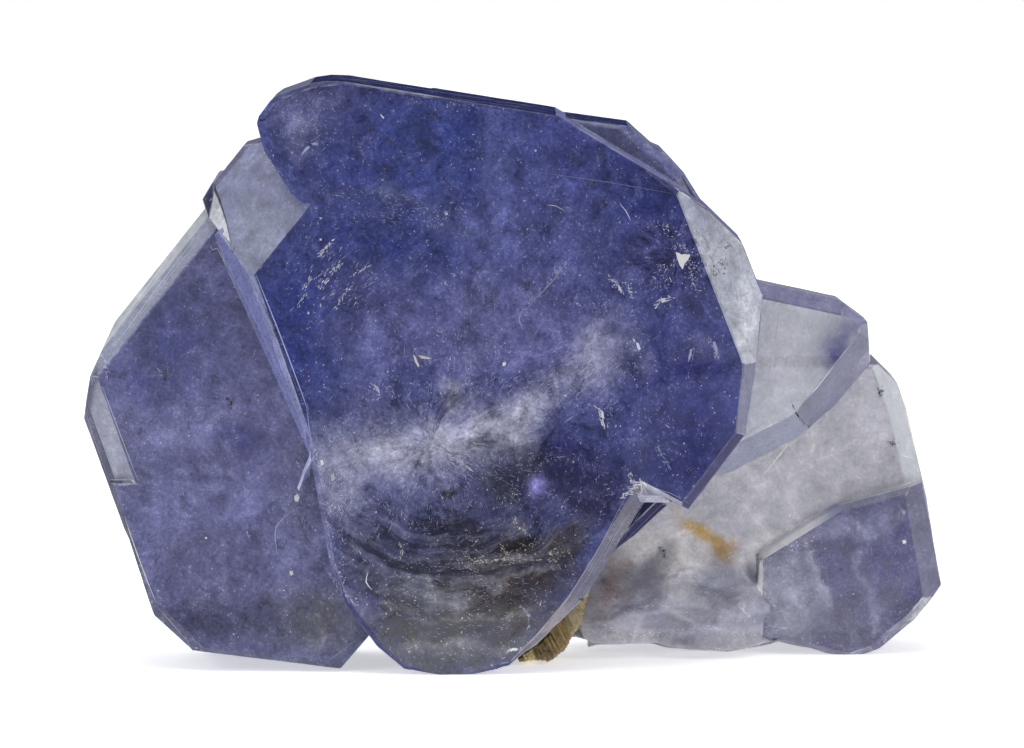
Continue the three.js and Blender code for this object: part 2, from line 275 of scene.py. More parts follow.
class Board:
    """The node tree of one material."""

    def __init__(self, tree: bpy.types.NodeTree) -> None:
        """Empties the tree."""
        self.tree = tree
        tree.nodes.clear()

    def node(
        self, kind: str, settings: dict[str, Any], inputs: dict[Any, Any] | Sequence[Any]
    ) -> bpy.types.Node:
        """Adds a node.

        Args:
            kind: the node's type.
            settings: its properties, set first.
            inputs: values or links of its sockets, by name or in order.

        Returns:
            The node.
        """
        node = self.tree.nodes.new(kind)
        for name, setting in settings.items():
            setattr(node, name, setting)
        pairs = inputs.items() if isinstance(inputs, dict) else enumerate(inputs)
        for name, entry in pairs:
            self._feed(node.inputs[name], entry)
        return node

    def _feed(self, socket: bpy.types.NodeSocket, entry: Any) -> None:
        """Sets a socket's value, or links it."""
        if isinstance(entry, Value):
            entry = entry.socket
        if isinstance(entry, bpy.types.NodeSocket):
            self.tree.links.new(entry, socket)
        elif socket.type == "RGBA" and len(entry) == 3:
            socket.default_value = (*entry, 1.0)
        else:
            socket.default_value = entry

    def value(self, kind: str, settings: dict[str, Any], inputs: Any, output: Any = 0) -> Value:
        """Adds a node and gives its output as a value."""
        return Value(self, self.node(kind, settings, inputs).outputs[output])

    def mix(self, factor: Any, first: Any, second: Any, blend: str = "MIX") -> bpy.types.NodeSocket:
        """Blends two colours.

        Args:
            factor: how much of the second.
            first: a colour or a link.
            second: a colour or a link.
            blend: the way of blending.

        Returns:
            The blended colour's socket.
        """
        settings = {"data_type": "RGBA", "blend_type": blend}
        return self.node("ShaderNodeMix", settings, {0: factor, 6: first, 7: second}).outputs[2]

    def noise(
        self, where: Any, scale: float, detail: float = 2.0, rough: float = 0.5, twist: float = 0.0
    ) -> Value:
        """Noise texture, as a value around 0.5."""
        inputs = {"Vector": where, "Scale": scale, "Detail": detail, "Roughness": rough, "Distortion": twist}
        return self.value("ShaderNodeTexNoise", {}, inputs)

    def vector(self, operation: str, *inputs: Any) -> bpy.types.NodeSocket:
        """Adds a Vector Math node and gives its vector."""
        return self.node("ShaderNodeVectorMath", {"operation": operation}, inputs).outputs[0]

    def attribute(self, name: str) -> bpy.types.Node:
        """Reads an attribute of the mesh."""
        return self.node("ShaderNodeAttribute", {"attribute_name": name}, {})

    def place(self) -> bpy.types.NodeSocket:
        """Object coordinates."""
        return self.node("ShaderNodeTexCoord", {}, {}).outputs["Object"]

    def relief(self, height: Value, strength: Any, depth: float) -> bpy.types.NodeSocket:
        """Normal of a fine relief whose depth is in metres."""
        inputs = {"Strength": strength, "Distance": depth, "Height": height}
        return self.node("ShaderNodeBump", {}, inputs).outputs[0]

    def shader(self, inputs: dict[str, Any]) -> bpy.types.NodeSocket:
        """Adds a Principled shader."""
        return self.node("ShaderNodeBsdfPrincipled", {}, inputs).outputs[0]

    def end(self, **ends: bpy.types.NodeSocket) -> None:
        """Links the surface, and the volume if there is one, to the material's output."""
        self.node("ShaderNodeOutputMaterial", {}, ends)


def new_material(name: str) -> tuple[bpy.types.Material, Board]:
    """Adds a material with an empty tree.

    Args:
        name: its name.

    Returns:
        The material and its tree.
    """
    material = bpy.data.materials.new(name)
    material.use_nodes = True
    return material, Board(material.node_tree)


@dataclass(frozen=True)
class Burst:
    """Streaks of milk and smoke inside the front crystal, round a picture pixel.

    Its reach, its empty core and the height that it ends at are in mm. Many rays and few rings for each metre
    make streaks that run outwards, and the other way round they make arcs.
    """

    at: Pixel
    reach: float
    strength: float
    rays: float = 9.0
    rings: float = 420.0
    core: float = 0.0
    top: float = 0.0


BURSTS = (
    Burst((430, 444), 11.0, 0.75, 5.0),
    Burst((560, 420), 8.5, 0.6, 5.0),
    Burst((446, 424), 19.0, 1.7, 1.7, 1700.0, 5.5, 14.0),
    Burst((676, 258), 5.0, 1.2, 7.0, 900.0),
)


@dataclass(frozen=True)
class ApatiteFinish:
    """Clear to milky apatite.

    The mesh carries its tint, and in "veil" its milk, its frost, its specks and how dull its facets are.
    """

    name: str = "fluorapatite"
    absorbed: Tint = (0.50, 0.54, 0.86)
    density: float = 70.0
    cloud_scale: float = 420.0
    wisp_scale: float = 1300.0
    grain_scale: float = 4300.0
    fleck_scale: float = 6400.0
    bend: Tint = (0.003, 0.003, 0.003)
    sway: Tint = (0.0011, 0.0011, 0.0011)
    streak: float = 0.42
    lift: Tint = (1.95, 1.95, 1.75)
    shade: Tint = (0.0, 0.0, 0.004)
    grain_depth: float = 0.00004

    def rays(self, board: Board, where: Any, burst: Burst) -> Value:
        """Streaks that run out from the middle of a burst.

        Args:
            board: the material's nodes.
            where: object coordinates.
            burst: the burst.

        Returns:
            How milky, or below 0 how dark, each place is.
        """
        middle = tuple(SIGHT.place(burst.at, SIGHT.target[1]) * MM)
        away = board.vector("SUBTRACT", where, middle)
        around = board.vector("SCALE", board.vector("NORMALIZE", away))
        around.node.inputs["Scale"].default_value = burst.rays
        distance = board.value("ShaderNodeVectorMath", {"operation": "LENGTH"}, [away], "Value")
        outwards = board.node("ShaderNodeCombineXYZ", {}, [0.0, distance * burst.rings, 0.0]).outputs[0]
        streaks = board.noise(board.vector("ADD", around, outwards), 1.0, 4.0, 0.7, 0.6)
        reach = burst.reach * MM
        level = distance.ramp(reach * 0.1, reach, burst.strength, 0.0)
        if burst.core:
            level = level * distance.ramp(burst.core * 0.6 * MM, burst.core * 1.2 * MM)
        if burst.top:
            height = Value(board, board.node("ShaderNodeSeparateXYZ", {}, [where]).outputs["Z"])
            level = level * height.ramp(burst.top * 0.6 * MM, burst.top * MM, 1.0, 0.0)
        return (streaks - 0.5) * level

    def make(self) -> bpy.types.Material:
        """Builds the material.

        Returns:
            The material.
        """
        material, board = new_material(self.name)
        where = board.place()
        colour = board.attribute("tint").outputs["Color"]
        attribute = board.attribute("veil")
        veil = board.node("ShaderNodeSeparateColor", {}, [attribute.outputs["Color"]])
        milk = Value(board, veil.outputs[0])
        frost = Value(board, veil.outputs[1])
        specks = Value(board, veil.outputs[2])
        dull = Value(board, attribute.outputs["Alpha"])
        swirl = board.noise(where, self.cloud_scale).socket.node.outputs[1]
        centred = board.vector("SUBTRACT", swirl, (0.5, 0.5, 0.5))
        bent = board.vector("MULTIPLY_ADD", centred, self.bend, where)
        swayed = board.vector("MULTIPLY_ADD", centred, self.sway, where)
        cloud = board.noise(bent, self.cloud_scale * 1.9, 6.0, 0.68)
        wisp = board.noise(bent, self.wisp_scale, 3.0, 0.6, 1.4)
        grain = board.noise(where, self.grain_scale, 2.0, 0.75)
        fleck = board.noise(where, self.fleck_scale, 1.0)
        threads = (wisp - 0.5).size().ramp(0.0, 0.035, 1.0, 0.0) * cloud.ramp(0.47, 0.62)
        fibres = self.rays(board, swayed, BURSTS[0])
        for burst in BURSTS[1:]:
            fibres = fibres + self.rays(board, swayed, burst)
        light = cloud.ramp(0.50, 0.70) * self.streak + grain.ramp(0.50, 0.76) * self.streak
        light = light + threads * self.streak + fibres.ramp(0.0, 0.2, 0.0, 0.7)
        dark = cloud.ramp(0.32, 0.50, 0.6, 0.0) + grain.ramp(0.26, 0.50, 0.5, 0.0)
        dark = dark + fibres.ramp(-0.16, 0.0, 1.0, 0.0)
        sparks = fleck.ramp(0.70, 0.76) * cloud.ramp(0.44, 0.56)
        paler = board.mix(0.14, board.mix(1.0, colour, self.lift, "MULTIPLY"), MILK)
        body = board.mix(light * specks, colour, paler)
        body = board.mix(dark * specks, body, board.mix(0.62, body, self.shade))
        body = board.mix(sparks * specks * 0.7, body, WHITE)
        relief = board.relief(grain, frost.ramp(0.0, 1.0, 0.03, 0.5), self.grain_depth)
        rough = frost * 0.5 + grain * 0.16 + 0.06
        inputs = {"Base Color": body, "Roughness": rough, "IOR": APATITE_IOR, "Normal": relief}
        milky = board.shader(inputs)
        inputs["Base Color"] = board.mix(0.5, colour, (1.0, 1.0, 1.0))
        inputs["Roughness"] = frost * 0.45 + 0.02
        clear = board.shader({**inputs, "Transmission Weight": 1.0})
        inside = board.shader({"Base Color": body, "Specular IOR Level": 0.0})
        surface = board.node("ShaderNodeMixShader", {}, [milk + light * 0.12, clear, milky])
        surface = board.node("ShaderNodeMixShader", {}, [dull, surface.outputs[0], inside])
        inputs = {"Color": self.absorbed, "Density": self.density}
        volume = board.node("ShaderNodeVolumeAbsorption", {}, inputs)
        board.end(Surface=surface.outputs[0], Volume=volume.outputs[0])
        return material


@dataclass(frozen=True)
class InclusionFinish:
    """Milky feathers and grains, with painted glints, edge highlights and pit shade, whose mesh carries their
    tint.
    """

    name: str = "inclusions"
    roughness: float = 0.35
    mottle_scale: float = 9000.0

    def make(self) -> bpy.types.Material:
        """Builds the material.

        Returns:
            The material.
        """
        material, board = new_material(self.name)
        where = board.place()
        colour = board.attribute("tint").outputs["Color"]
        mottle = board.noise(where, self.mottle_scale, 1.0)
        body = board.mix(mottle.ramp(0.4, 0.7) * 0.25, colour, board.mix(0.5, colour, WHITE))
        board.end(Surface=board.shader({"Base Color": body, "Roughness": self.roughness, "IOR": APATITE_IOR}))
        return material


@dataclass(frozen=True)
class MicaFinish:
    """Olive-brown mica: sheets whose mesh carries the tint of each, with pale flecks of painted pearly sheen.
    """

    name: str = "mica"
    roughness: float = 0.32
    stain_scale: float = 900.0
    flake_scale: float = 5200.0
    flake_depth: float = 0.00003
    dirt: Tint = (0.01, 0.006, 0.0)
    painted_sheen: Tint = tint(214, 200, 150)

    def make(self) -> bpy.types.Material:
        """Builds the material.

        Returns:
            The material.
        """
        material, board = new_material(self.name)
        where = board.place()
        colour = board.attribute("tint").outputs["Color"]
        stain = board.noise(where, self.stain_scale, 5.0, 0.65, 0.6)
        flake = board.noise(where, self.flake_scale, 2.0, 0.7)
        body = board.mix((1 - stain.ramp(0.32, 0.55)) * 0.75, colour, board.mix(0.7, colour, self.dirt))
        # Pale flecks of painted sheen on the sheets
        body = board.mix(flake.ramp(0.56, 0.72) * 0.6, body, board.mix(0.5, colour, self.painted_sheen))
        inputs = {
            "Base Color": body,
            "Roughness": stain * 0.3 + self.roughness,
            "IOR": MICA_IOR,
            "Normal": board.relief(flake, 0.4, self.flake_depth),
        }
        board.end(Surface=board.shader(inputs))
        return material


# Regions of the crystals' surface

class Crystal(Enum):
    """The grown-together crystals."""

    MAIN = "main"
    LEFT = "left"
    UPPER = "upper"
    PALE = "pale"
    FAR = "far"
    BLUE = "blue"
    BROKEN = "broken"


@dataclass(frozen=True)
class Region:
    """A stretch of facets with one finish. Seeds are picture pixels that lie on its facets."""

    tint: Tint
    milk: float
    frost: float
    specks: float
    seeds: tuple[Pixel, ...] = ()
    dull: float = 0.0


REGIONS: dict[str, Region] = {
    "main": Region(tint(76, 82, 142), 0.88, 0.1, 1.0),
    "left": Region(tint(114, 116, 163), 0.86, 0.1, 0.9),
    "upper": Region(tint(106, 109, 146), 0.86, 0.15, 0.8, (), 0.3),
    "pale": Region(tint(230, 232, 240), 0.7, 0.1, 0.4),
    "far": Region(tint(198, 197, 203), 0.62, 0.2, 0.5),
    "blue": Region(tint(72, 70, 114), 0.82, 0.25, 0.9),
    "broken": Region(tint(190, 188, 197), 0.7, 0.35, 0.6),
    "main side": Region(tint(80, 84, 126), 0.84, 0.45, 0.8),
    "left side": Region(tint(92, 96, 134), 0.84, 0.45, 0.8),
    "upper side": Region(tint(94, 97, 132), 0.84, 0.4, 0.8, (), 0.5),
    "pale side": Region(tint(130, 132, 158), 0.74, 0.4, 0.5),
    "far side": Region(tint(170, 170, 182), 0.74, 0.4, 0.5),
    "blue side": Region(tint(112, 111, 138), 0.8, 0.4, 0.8),
    "broken side": Region(tint(150, 148, 160), 0.78, 0.5, 1.0),
    "main rim": Region(tint(66, 70, 116), 0.9, 0.3, 0.8, (), 0.8),
    "left rim": Region(tint(90, 93, 124), 0.84, 0.3, 0.8, (), 0.5),
    "notch bevel": Region(tint(118, 124, 161), 0.9, 0.5, 0.8, ((259, 202),)),
    "notch side": Region(tint(78, 84, 140), 0.95, 0.2, 0.9, ((275, 150), (279, 169), (266, 110)), 1.0),
    "right bevel": Region(tint(164, 168, 186), 0.9, 0.6, 1.0, ((725, 266),)),
    "right strip": Region(tint(124, 125, 150), 0.86, 0.4, 0.5, ((748, 392),), 0.5),
    "low right bevel": Region(tint(50, 48, 96), 0.86, 0.4, 0.6, ((707, 477),), 0.5),
    "left upper bevel": Region(tint(136, 142, 169), 0.86, 0.5, 0.7, ((148, 304),)),
    "left outer bevel": Region(tint(176, 180, 190), 0.84, 0.6, 0.4, ((168, 261),)),
    "left bevel": Region(tint(144, 147, 172), 0.86, 0.5, 0.6, ((105, 419),)),
    "left foot": Region(tint(84, 85, 112), 0.86, 0.3, 0.7, ((108, 475), (132, 543), (171, 624), (195, 647)),
                        0.7),
    "left wall": Region(tint(122, 127, 180), 0.88, 0.3, 0.6, ((249, 308), (290, 386))),
    "dark chip": Region(tint(32, 34, 74), 0.95, 0.2, 0.3, ((207, 200), (210, 192)), 0.5),
    "grain chip": Region(tint(194, 197, 207), 0.95, 0.9, 0.8, ((218, 215), (214, 200), (226, 232))),
    "top strip": Region(tint(36, 40, 78), 0.9, 0.3, 0.7,
                        ((396, 87), (473, 97), (588, 117), (321, 79), (338, 79)), 1.0),
    "upper rim": Region(tint(100, 103, 142), 0.86, 0.4, 1.0,
                        ((651, 151), (658, 150), (672, 160), (596, 136)), 1.0),
    "lobe strip": Region(tint(84, 83, 112), 0.84, 0.4, 0.5, ((617, 534), (544, 633))),
    "shoulder": Region(tint(164, 164, 188), 0.84, 0.35, 0.8, ((649, 493), (657, 499), (662, 494))),
    "notch wedge": Region(
        tint(36, 36, 76), 0.95, 0.3, 0.5,
        ((633, 530), (652, 508), (640, 522), (640, 516), (655, 512), (660, 507), (640, 530), (630, 538)), 0.6,
    ),
    "seam": Region(
        tint(108, 111, 152), 0.9, 0.3, 0.9,
        ((314, 460), (318, 480), (324, 520), (328, 540), (332, 560), (338, 575)), 0.9,
    ),
    "pale top": Region(tint(126, 126, 156), 0.84, 0.2, 0.5, ((800, 297), (856, 318)), 1.0),
    "pale low": Region(tint(152, 155, 178), 0.78, 0.3, 0.3, ((748, 446), (775, 444)), 0.4),
    "pale facet": Region(tint(124, 125, 150), 0.82, 0.3, 0.3, ((840, 371), (839, 393)), 0.3),
    "far bevel": Region(tint(184, 187, 194), 0.82, 0.5, 0.3, ((915, 473), (887, 384))),
    "blue bevel": Region(tint(104, 104, 130), 0.86, 0.4, 0.6, ((923, 540),), 0.6),
    "blue rim": Region(tint(104, 104, 134), 0.8, 0.4, 0.9, ((874, 499), (889, 636), (920, 607)), 0.5),
    "crumb": Region(tint(250, 249, 248), 0.9, 0.6, 0.3, ((792, 538), (798, 529), (759, 574))),
}
NAMES = list(REGIONS)
BREAKS = ("broken", "broken side", "crumb")


@dataclass(frozen=True)
class Cloud:
    """A soft-edged patch of colour inside a crystal, in picture pixels."""

    at: Pixel
    size: Pixel
    tint: Tint
    strength: float = 0.8
    turn: float = 0.0
    milk: float = 0.0

    def mask(self, spots: np.ndarray) -> np.ndarray:
        """How much of the patch lies at each spot.

        Args:
            spots: warped picture places, one row each.

        Returns:
            Values from 0 to 1.
        """
        cos, sin = math.cos(math.radians(self.turn)), math.sin(math.radians(self.turn))
        across = spots - np.array(self.at)
        along = (across[:, 0] * cos + across[:, 1] * sin) / self.size[0]
        aside = (across[:, 1] * cos - across[:, 0] * sin) / self.size[1]
        reach = along ** 2 + aside ** 2
        return np.exp(-1.2 * reach ** 1.3)


@dataclass(frozen=True)
class Streak:
    """A band of colour along a line inside a crystal, in picture pixels."""

    path: tuple[Pixel, ...]
    width: float
    tint: Tint
    strength: float = 0.8
    milk: float = 0.0

    def mask(self, spots: np.ndarray) -> np.ndarray:
        """How much of the band lies at each spot.

        Args:
            spots: warped picture places, one row each.

        Returns:
            Values from 0 to 1.
        """
        nearest = np.full(len(spots), 1e9)
        for start, end in zip(self.path, self.path[1:]):
            first = np.array(start)
            run = np.array(end) - first
            part = np.clip((spots - first) @ run / (run @ run), 0, 1)
            nearest = np.minimum(nearest, np.linalg.norm(spots - first - part[:, None] * run, axis=1))
        return np.exp(-1.2 * (nearest / self.width) ** 2)


@dataclass(frozen=True)
class Zone:
    """A growth zone with straight edges inside a crystal. Its corners are picture pixels, clockwise."""

    corners: tuple[Pixel, ...]
    soft: float
    tint: Tint
    strength: float = 0.8
    milk: float = 0.0

    def mask(self, spots: np.ndarray) -> np.ndarray:
        """How much of the zone lies at each spot.

        Args:
            spots: picture places, one row each.

        Returns:
            Values from 0 to 1.
        """
        outside = np.full(len(spots), -1e9)
        for start, end in zip(self.corners, self.corners[1:] + self.corners[:1]):
            run = np.array(end, dtype=float) - start
            outwards = np.array([run[1], -run[0]]) / np.linalg.norm(run)
            outside = np.maximum(outside, (spots - start) @ outwards)
        return 1 / (1 + np.exp(np.clip(outside / self.soft, -30, 30)))


CLOUDS: dict[str, tuple[Cloud | Streak | Zone, ...]] = {
    "main": (
        # Upper lobe and top
        Cloud((298, 112), (56, 36), tint(106, 109, 158), 0.75),
        Cloud((365, 165), (66, 56), tint(66, 73, 140)),
        Cloud((430, 150), (58, 66), tint(62, 74, 144), 0.9),
        Zone(((452, 90), (482, 94), (482, 210), (462, 206)), 2.0, tint(56, 67, 138)),
        Zone(((484, 92), (512, 96), (514, 222), (485, 218)), 1.0, tint(98, 105, 174), 0.9),
        Cloud((524, 150), (34, 66), tint(86, 94, 164), 0.7),
        Cloud((585, 150), (60, 50), tint(70, 75, 144)),
        Cloud((660, 195), (70, 52), tint(50, 57, 124), 0.85, 30),
        # Navy sides and lighter middle
        Cloud((400, 250), (96, 30), tint(48, 59, 128), 0.8, 12),
        Cloud((296, 340), (48, 100), tint(48, 60, 130), 0.9),
        Cloud((330, 420), (30, 40), tint(70, 76, 128), 0.6),
        Cloud((520, 230), (80, 50), tint(94, 99, 164), 0.7),
        Cloud((410, 330), (80, 56), tint(102, 104, 160)),
        Cloud((530, 330), (70, 60), tint(112, 114, 170)),
        Cloud((668, 262), (36, 50), tint(62, 62, 116), 0.6),
        Cloud((695, 390), (52, 90), tint(58, 61, 124), 0.9),
        Cloud((690, 460), (60, 44), tint(24, 30, 94), 0.9),
        # Lower lobe and smoke
        Cloud((350, 480), (60, 50), tint(172, 174, 202)),
        Cloud((370, 560), (40, 60), tint(68, 70, 98), 0.85),
        Cloud((460, 560), (80, 60), tint(54, 54, 66), 0.95),
        Cloud((430, 625), (110, 44), tint(42, 43, 50), 0.9),
        Cloud((510, 600), (70, 60), tint(50, 44, 48), 0.9),
        Cloud((450, 664), (80, 18), tint(64, 66, 68)),
        Cloud((520, 478), (66, 40), tint(32, 33, 54), 0.9),
        Cloud((590, 490), (46, 50), tint(38, 38, 72), 0.85),
        Cloud((450, 530), (50, 26), tint(40, 41, 64)),
        Cloud((396, 600), (30, 24), tint(46, 47, 72), 0.8, 40),
        Cloud((362, 612), (16, 26), tint(62, 65, 122), 0.7, 40),
        Cloud((430, 391), (15, 8), tint(56, 60, 118), 0.5),
        Cloud((380, 494), (22, 30), tint(66, 70, 124), 0.7),
        Cloud((520, 448), (34, 12), tint(38, 40, 70), 0.8, 10),
        Cloud((500, 480), (20, 12), tint(30, 32, 54)),
        Cloud((578, 462), (26, 30), tint(34, 37, 92)),
        Cloud((572, 540), (24, 16), tint(84, 83, 92), 0.6, -30),
        # Star and milk
        Cloud((424, 441), (66, 24), tint(202, 202, 214), 0.9, -4),
        Cloud((430, 452), (74, 44), tint(136, 138, 174), 0.6),
        Cloud((390, 420), (60, 20), tint(120, 122, 164), 0.4, 35),
        Cloud((470, 350), (24, 84), tint(112, 114, 162), 0.5, 8),
        Cloud((508, 424), (56, 24), tint(190, 190, 214), 0.85, -26),
        Cloud((598, 352), (26, 44), tint(154, 155, 190), 0.8, 30),
        Cloud((560, 378), (40, 14), tint(126, 127, 160), 0.6, -30),
        # Small patches
        Cloud((634, 362), (18, 26), tint(56, 58, 104), 0.7),
        Cloud((538, 490), (12, 12), tint(118, 114, 184)),
        Cloud((450, 489), (11, 8), tint(14, 16, 36), 0.95),
        Cloud((520, 524), (20, 12), tint(106, 106, 128), 0.7),
        Cloud((436, 532), (26, 14), tint(26, 28, 54), 0.85),
        Cloud((524, 545), (38, 12), tint(20, 4, 0), 1.0, -5),
        Cloud((518, 590), (28, 12), tint(36, 12, 0), 0.95, -12),
        Cloud((434, 597), (38, 15), tint(124, 125, 138), 0.75, 14),
        # Growth bands
        Streak(((312, 190), (380, 198), (420, 210), (450, 226), (480, 238)), 7, tint(84, 90, 138), 0.6),
        Streak(((350, 236), (376, 233), (400, 238)), 4, tint(80, 86, 138), 0.5),
        Streak(((483, 96), (484, 215)), 3, tint(92, 97, 152), 0.5),
        Streak(((460, 566), (500, 560), (568, 556)), 6, tint(120, 118, 126), 0.6),
        Streak(((470, 578), (540, 576)), 4, tint(110, 108, 118), 0.5),
        # Brown and bright patches
        Cloud((560, 562), (24, 36), tint(50, 43, 50), 0.85, 34),
        Cloud((456, 400), (14, 12), tint(170, 171, 196), 0.7),
        Cloud((300, 136), (18, 14), tint(132, 135, 176), 0.7),
        Cloud((706, 352), (14, 12), tint(112, 115, 168), 0.7),
        Cloud((642, 366), (10, 16), tint(118, 120, 168), 0.6),
        # Bands of the lower lobe
        Streak(((392, 570), (440, 584), (500, 586), (552, 570)), 3, tint(126, 126, 134), 0.55),
        Streak(((384, 604), (430, 620), (490, 622), (540, 606)), 3, tint(116, 117, 124), 0.5),
        Streak(((380, 556), (430, 572), (490, 572), (548, 560)), 3, tint(26, 26, 38), 0.6),
        Streak(((396, 622), (440, 636), (500, 636), (536, 622)), 3, tint(34, 34, 44), 0.6),
        Streak(((372, 590), (400, 606), (440, 610)), 4, tint(28, 29, 46), 0.6),
        Streak(((352, 500), (362, 540), (384, 572)), 4, tint(120, 123, 158), 0.5),
        Streak(((372, 486), (384, 528), (410, 556)), 4, tint(36, 38, 70), 0.5),
        Streak(((410, 646), (470, 652), (530, 642)), 7, tint(112, 113, 122), 0.6),
        Streak(((312, 450), (318, 520), (330, 574), (366, 612)), 9, tint(120, 122, 156), 0.4),
    ),
    "left": (
        Cloud((170, 350), (60, 70), tint(84, 88, 142), 0.85),
        Cloud((180, 420), (60, 26), tint(124, 126, 172), 0.7),
        Cloud((265, 420), (40, 60), tint(122, 122, 172), 0.7),
        Cloud((250, 450), (26, 22), tint(86, 88, 134), 0.6),
        Cloud((176, 464), (26, 16), tint(84, 86, 124), 0.5),
        Cloud((200, 560), (70, 40), tint(92, 93, 130), 0.7),
        Cloud((300, 490), (26, 60), tint(120, 122, 156), 0.6),
        Cloud((320, 620), (60, 44), tint(100, 101, 112), 0.9),
        Cloud((210, 620), (100, 36), tint(56, 57, 80)),
        Cloud((236, 446), (22, 15), tint(72, 74, 132), 0.6),
        Cloud((126, 460), (20, 60), tint(98, 101, 134), 0.5),
    ),
    "left bevel": (
        Zone(((97, 366), (99, 374), (92, 402), (86, 414), (80, 414), (84, 390)), 1.0, tint(46, 50, 98), 0.95),
    ),
    "left upper bevel": (
        Zone(((97, 366), (99, 374), (92, 402), (86, 414), (80, 414), (84, 390)), 1.0, tint(46, 50, 98), 0.95),
    ),
    "pale": (
        Cloud((764, 350), (34, 50), tint(244, 244, 250), 0.7),
        Cloud((838, 350), (32, 36), tint(104, 104, 154), 0.85),
    ),
    "far": (
        # Painted light: pure white where light shines through the pale crystal, which is also less milky
        # there
        Cloud((872, 396), (44, 34), tint(255, 255, 255), 1.0, 0, -0.3),
        Cloud((838, 420), (24, 18), tint(255, 255, 255), 0.9, -40, -0.15),
        Cloud((886, 396), (12, 20), tint(214, 214, 220), 0.3),
    ),
    "broken": (
        Cloud((800, 470), (90, 40), tint(210, 208, 214), 0.85),
        Cloud((720, 510), (60, 30), tint(204, 202, 208)),
        Cloud((700, 620), (90, 30), tint(168, 166, 180), 0.7),
        Cloud((614, 584), (16, 38), tint(158, 140, 137), 0.9, 0, 0.3),
        # Pale crumbs and cream of the broken mass, lightened further as painted light over hollows of the
        # relief that lie in shade
        Cloud((770, 552), (36, 14), tint(246, 244, 242)),
        Cloud((662, 556), (40, 30), tint(226, 222, 222), 1.0, 0, 0.3),
        Cloud((716, 586), (26, 14), tint(182, 184, 202)),
        Streak(((612, 606), (664, 598), (700, 606), (744, 604)), 4, tint(196, 195, 208), 0.6),
        Streak(((620, 630), (670, 626), (730, 634), (766, 628)), 4, tint(196, 195, 208), 0.5),
        Streak(((606, 618), (656, 613), (706, 620), (750, 616)), 3, tint(112, 110, 134), 0.6),
        Streak(((640, 574), (690, 566), (700, 590), (740, 596)), 3, tint(120, 118, 138), 0.5),
        Streak(((732, 562), (756, 556), (780, 546), (806, 540)), 7, tint(232, 230, 230)),
        Cloud((680, 626), (60, 14), tint(150, 148, 172), 0.7),
        Cloud((764, 606), (30, 30), tint(146, 146, 172)),
        Streak(((680, 514), (700, 534)), 8, tint(200, 180, 146), 0.6),
        Streak(((696, 531), (714, 549)), 9, tint(190, 150, 34), 0.95),
        Cloud((717, 553), (17, 13), tint(182, 134, 0), 1.0, 40),
    ),
    "blue": (
        Cloud((850, 526), (60, 15), tint(148, 150, 186), 0.75, -26),
        Cloud((850, 636), (70, 20), tint(84, 85, 114), 0.7),
        Cloud((782, 600), (34, 60), tint(160, 160, 182), 0.75),
        Streak(((868, 548), (876, 620)), 4, tint(166, 166, 196), 0.4),
        Streak(((812, 552), (822, 600)), 6, tint(160, 160, 186), 0.6),
        Cloud((896, 572), (24, 46), tint(70, 68, 120), 0.7),
    ),
    "crumb": (
        Zone(((822, 480), (950, 480), (950, 620), (822, 620)), 6.0, tint(118, 119, 158), 0.95),
    ),
    "blue rim": (
        Cloud((920, 612), (30, 24), tint(176, 178, 184)),
    ),
    "notch bevel": (
        Cloud((256, 232), (24, 30), tint(142, 149, 180)),
        Zone(((263, 120), (330, 120), (330, 218), (303, 212), (286, 192)), 3.0, tint(62, 68, 126), 1.0),
    ),
    "right bevel": (
        Cloud((744, 320), (16, 44), tint(196, 199, 211)),
        Cloud((694, 215), (26, 30), tint(118, 122, 152), 0.7),
    ),
    "seam": (
        Cloud((346, 592), (24, 26), tint(66, 70, 124), 0.9),
    ),
    "lobe strip": (
        Cloud((548, 630), (30, 40), tint(140, 130, 138), 0.85, -50),
        Cloud((620, 524), (14, 30), tint(98, 94, 112)),
    ),
}

# Lines, in picture pixels, along which the edge strips lose their painted highlight and turn dull
DULL_EDGES: dict[str, Streak] = {
    "lobe rim": Streak(((260, 140), (258, 122), (264, 104), (284, 87), (312, 77), (345, 75)), 9, NAVY, 1.0),
    "notch": Streak(((262, 138), (285, 172), (307, 210), (256, 272)), 8, tint(84, 90, 140), 1.0),
    "top": Streak(((345, 75), (545, 107), (628, 121), (680, 170), (704, 208)), 12, NAVY, 0.9),
    "lobe left": Streak(((306, 440), (318, 500), (330, 560), (362, 612), (402, 668)), 10, tint(74, 78, 120),
                        0.85),
    "foot": Streak(((402, 668), (440, 677), (505, 672), (525, 664)), 9, tint(58, 60, 84), 0.9),
    "left foot": Streak(((120, 510), (156, 606), (192, 648), (300, 660), (340, 664)), 9, tint(62, 64, 92),
                        0.7),
    "pale top": Streak(((756, 280), (836, 296), (868, 320)), 9, tint(112, 112, 142), 0.9),
    "right": Streak(((742, 430), (690, 506)), 8, NAVY, 0.8),
    "notch top": Streak(((262, 120), (288, 160), (312, 203)), 7, tint(78, 84, 136), 1.0),
    "top right": Streak(((440, 96), (545, 111), (600, 128), (650, 166), (676, 190)), 8, tint(66, 70, 112),
                        1.0),
    "seam": Streak(((306, 406), (316, 460), (326, 530), (344, 590), (366, 618)), 9, tint(82, 86, 136), 1.0),
}


# Lift of the big crystal's foot and of the cluster's underside, along X, in mm

FOOT_PLACES = (-7.6, -7.1, -5.2, -2.9, -0.9, 0.6, 1.4)
FOOT_LIFTS = (0.0, 0.32, 0.0, 0.05, 0.45, 0.4, 0.0)
UNDER_PLACES = (4.6, 5.6, 9.4, 10.4, 12.2, 14.7, 16.8, 17.6, 18.2, 19.7, 22.0)
UNDER_LIFTS = (0.2, 0.5, 0.6, 0.28, 0.14, 0.0, 0.35, 0.5, 0.7, 0.35, 0.0)


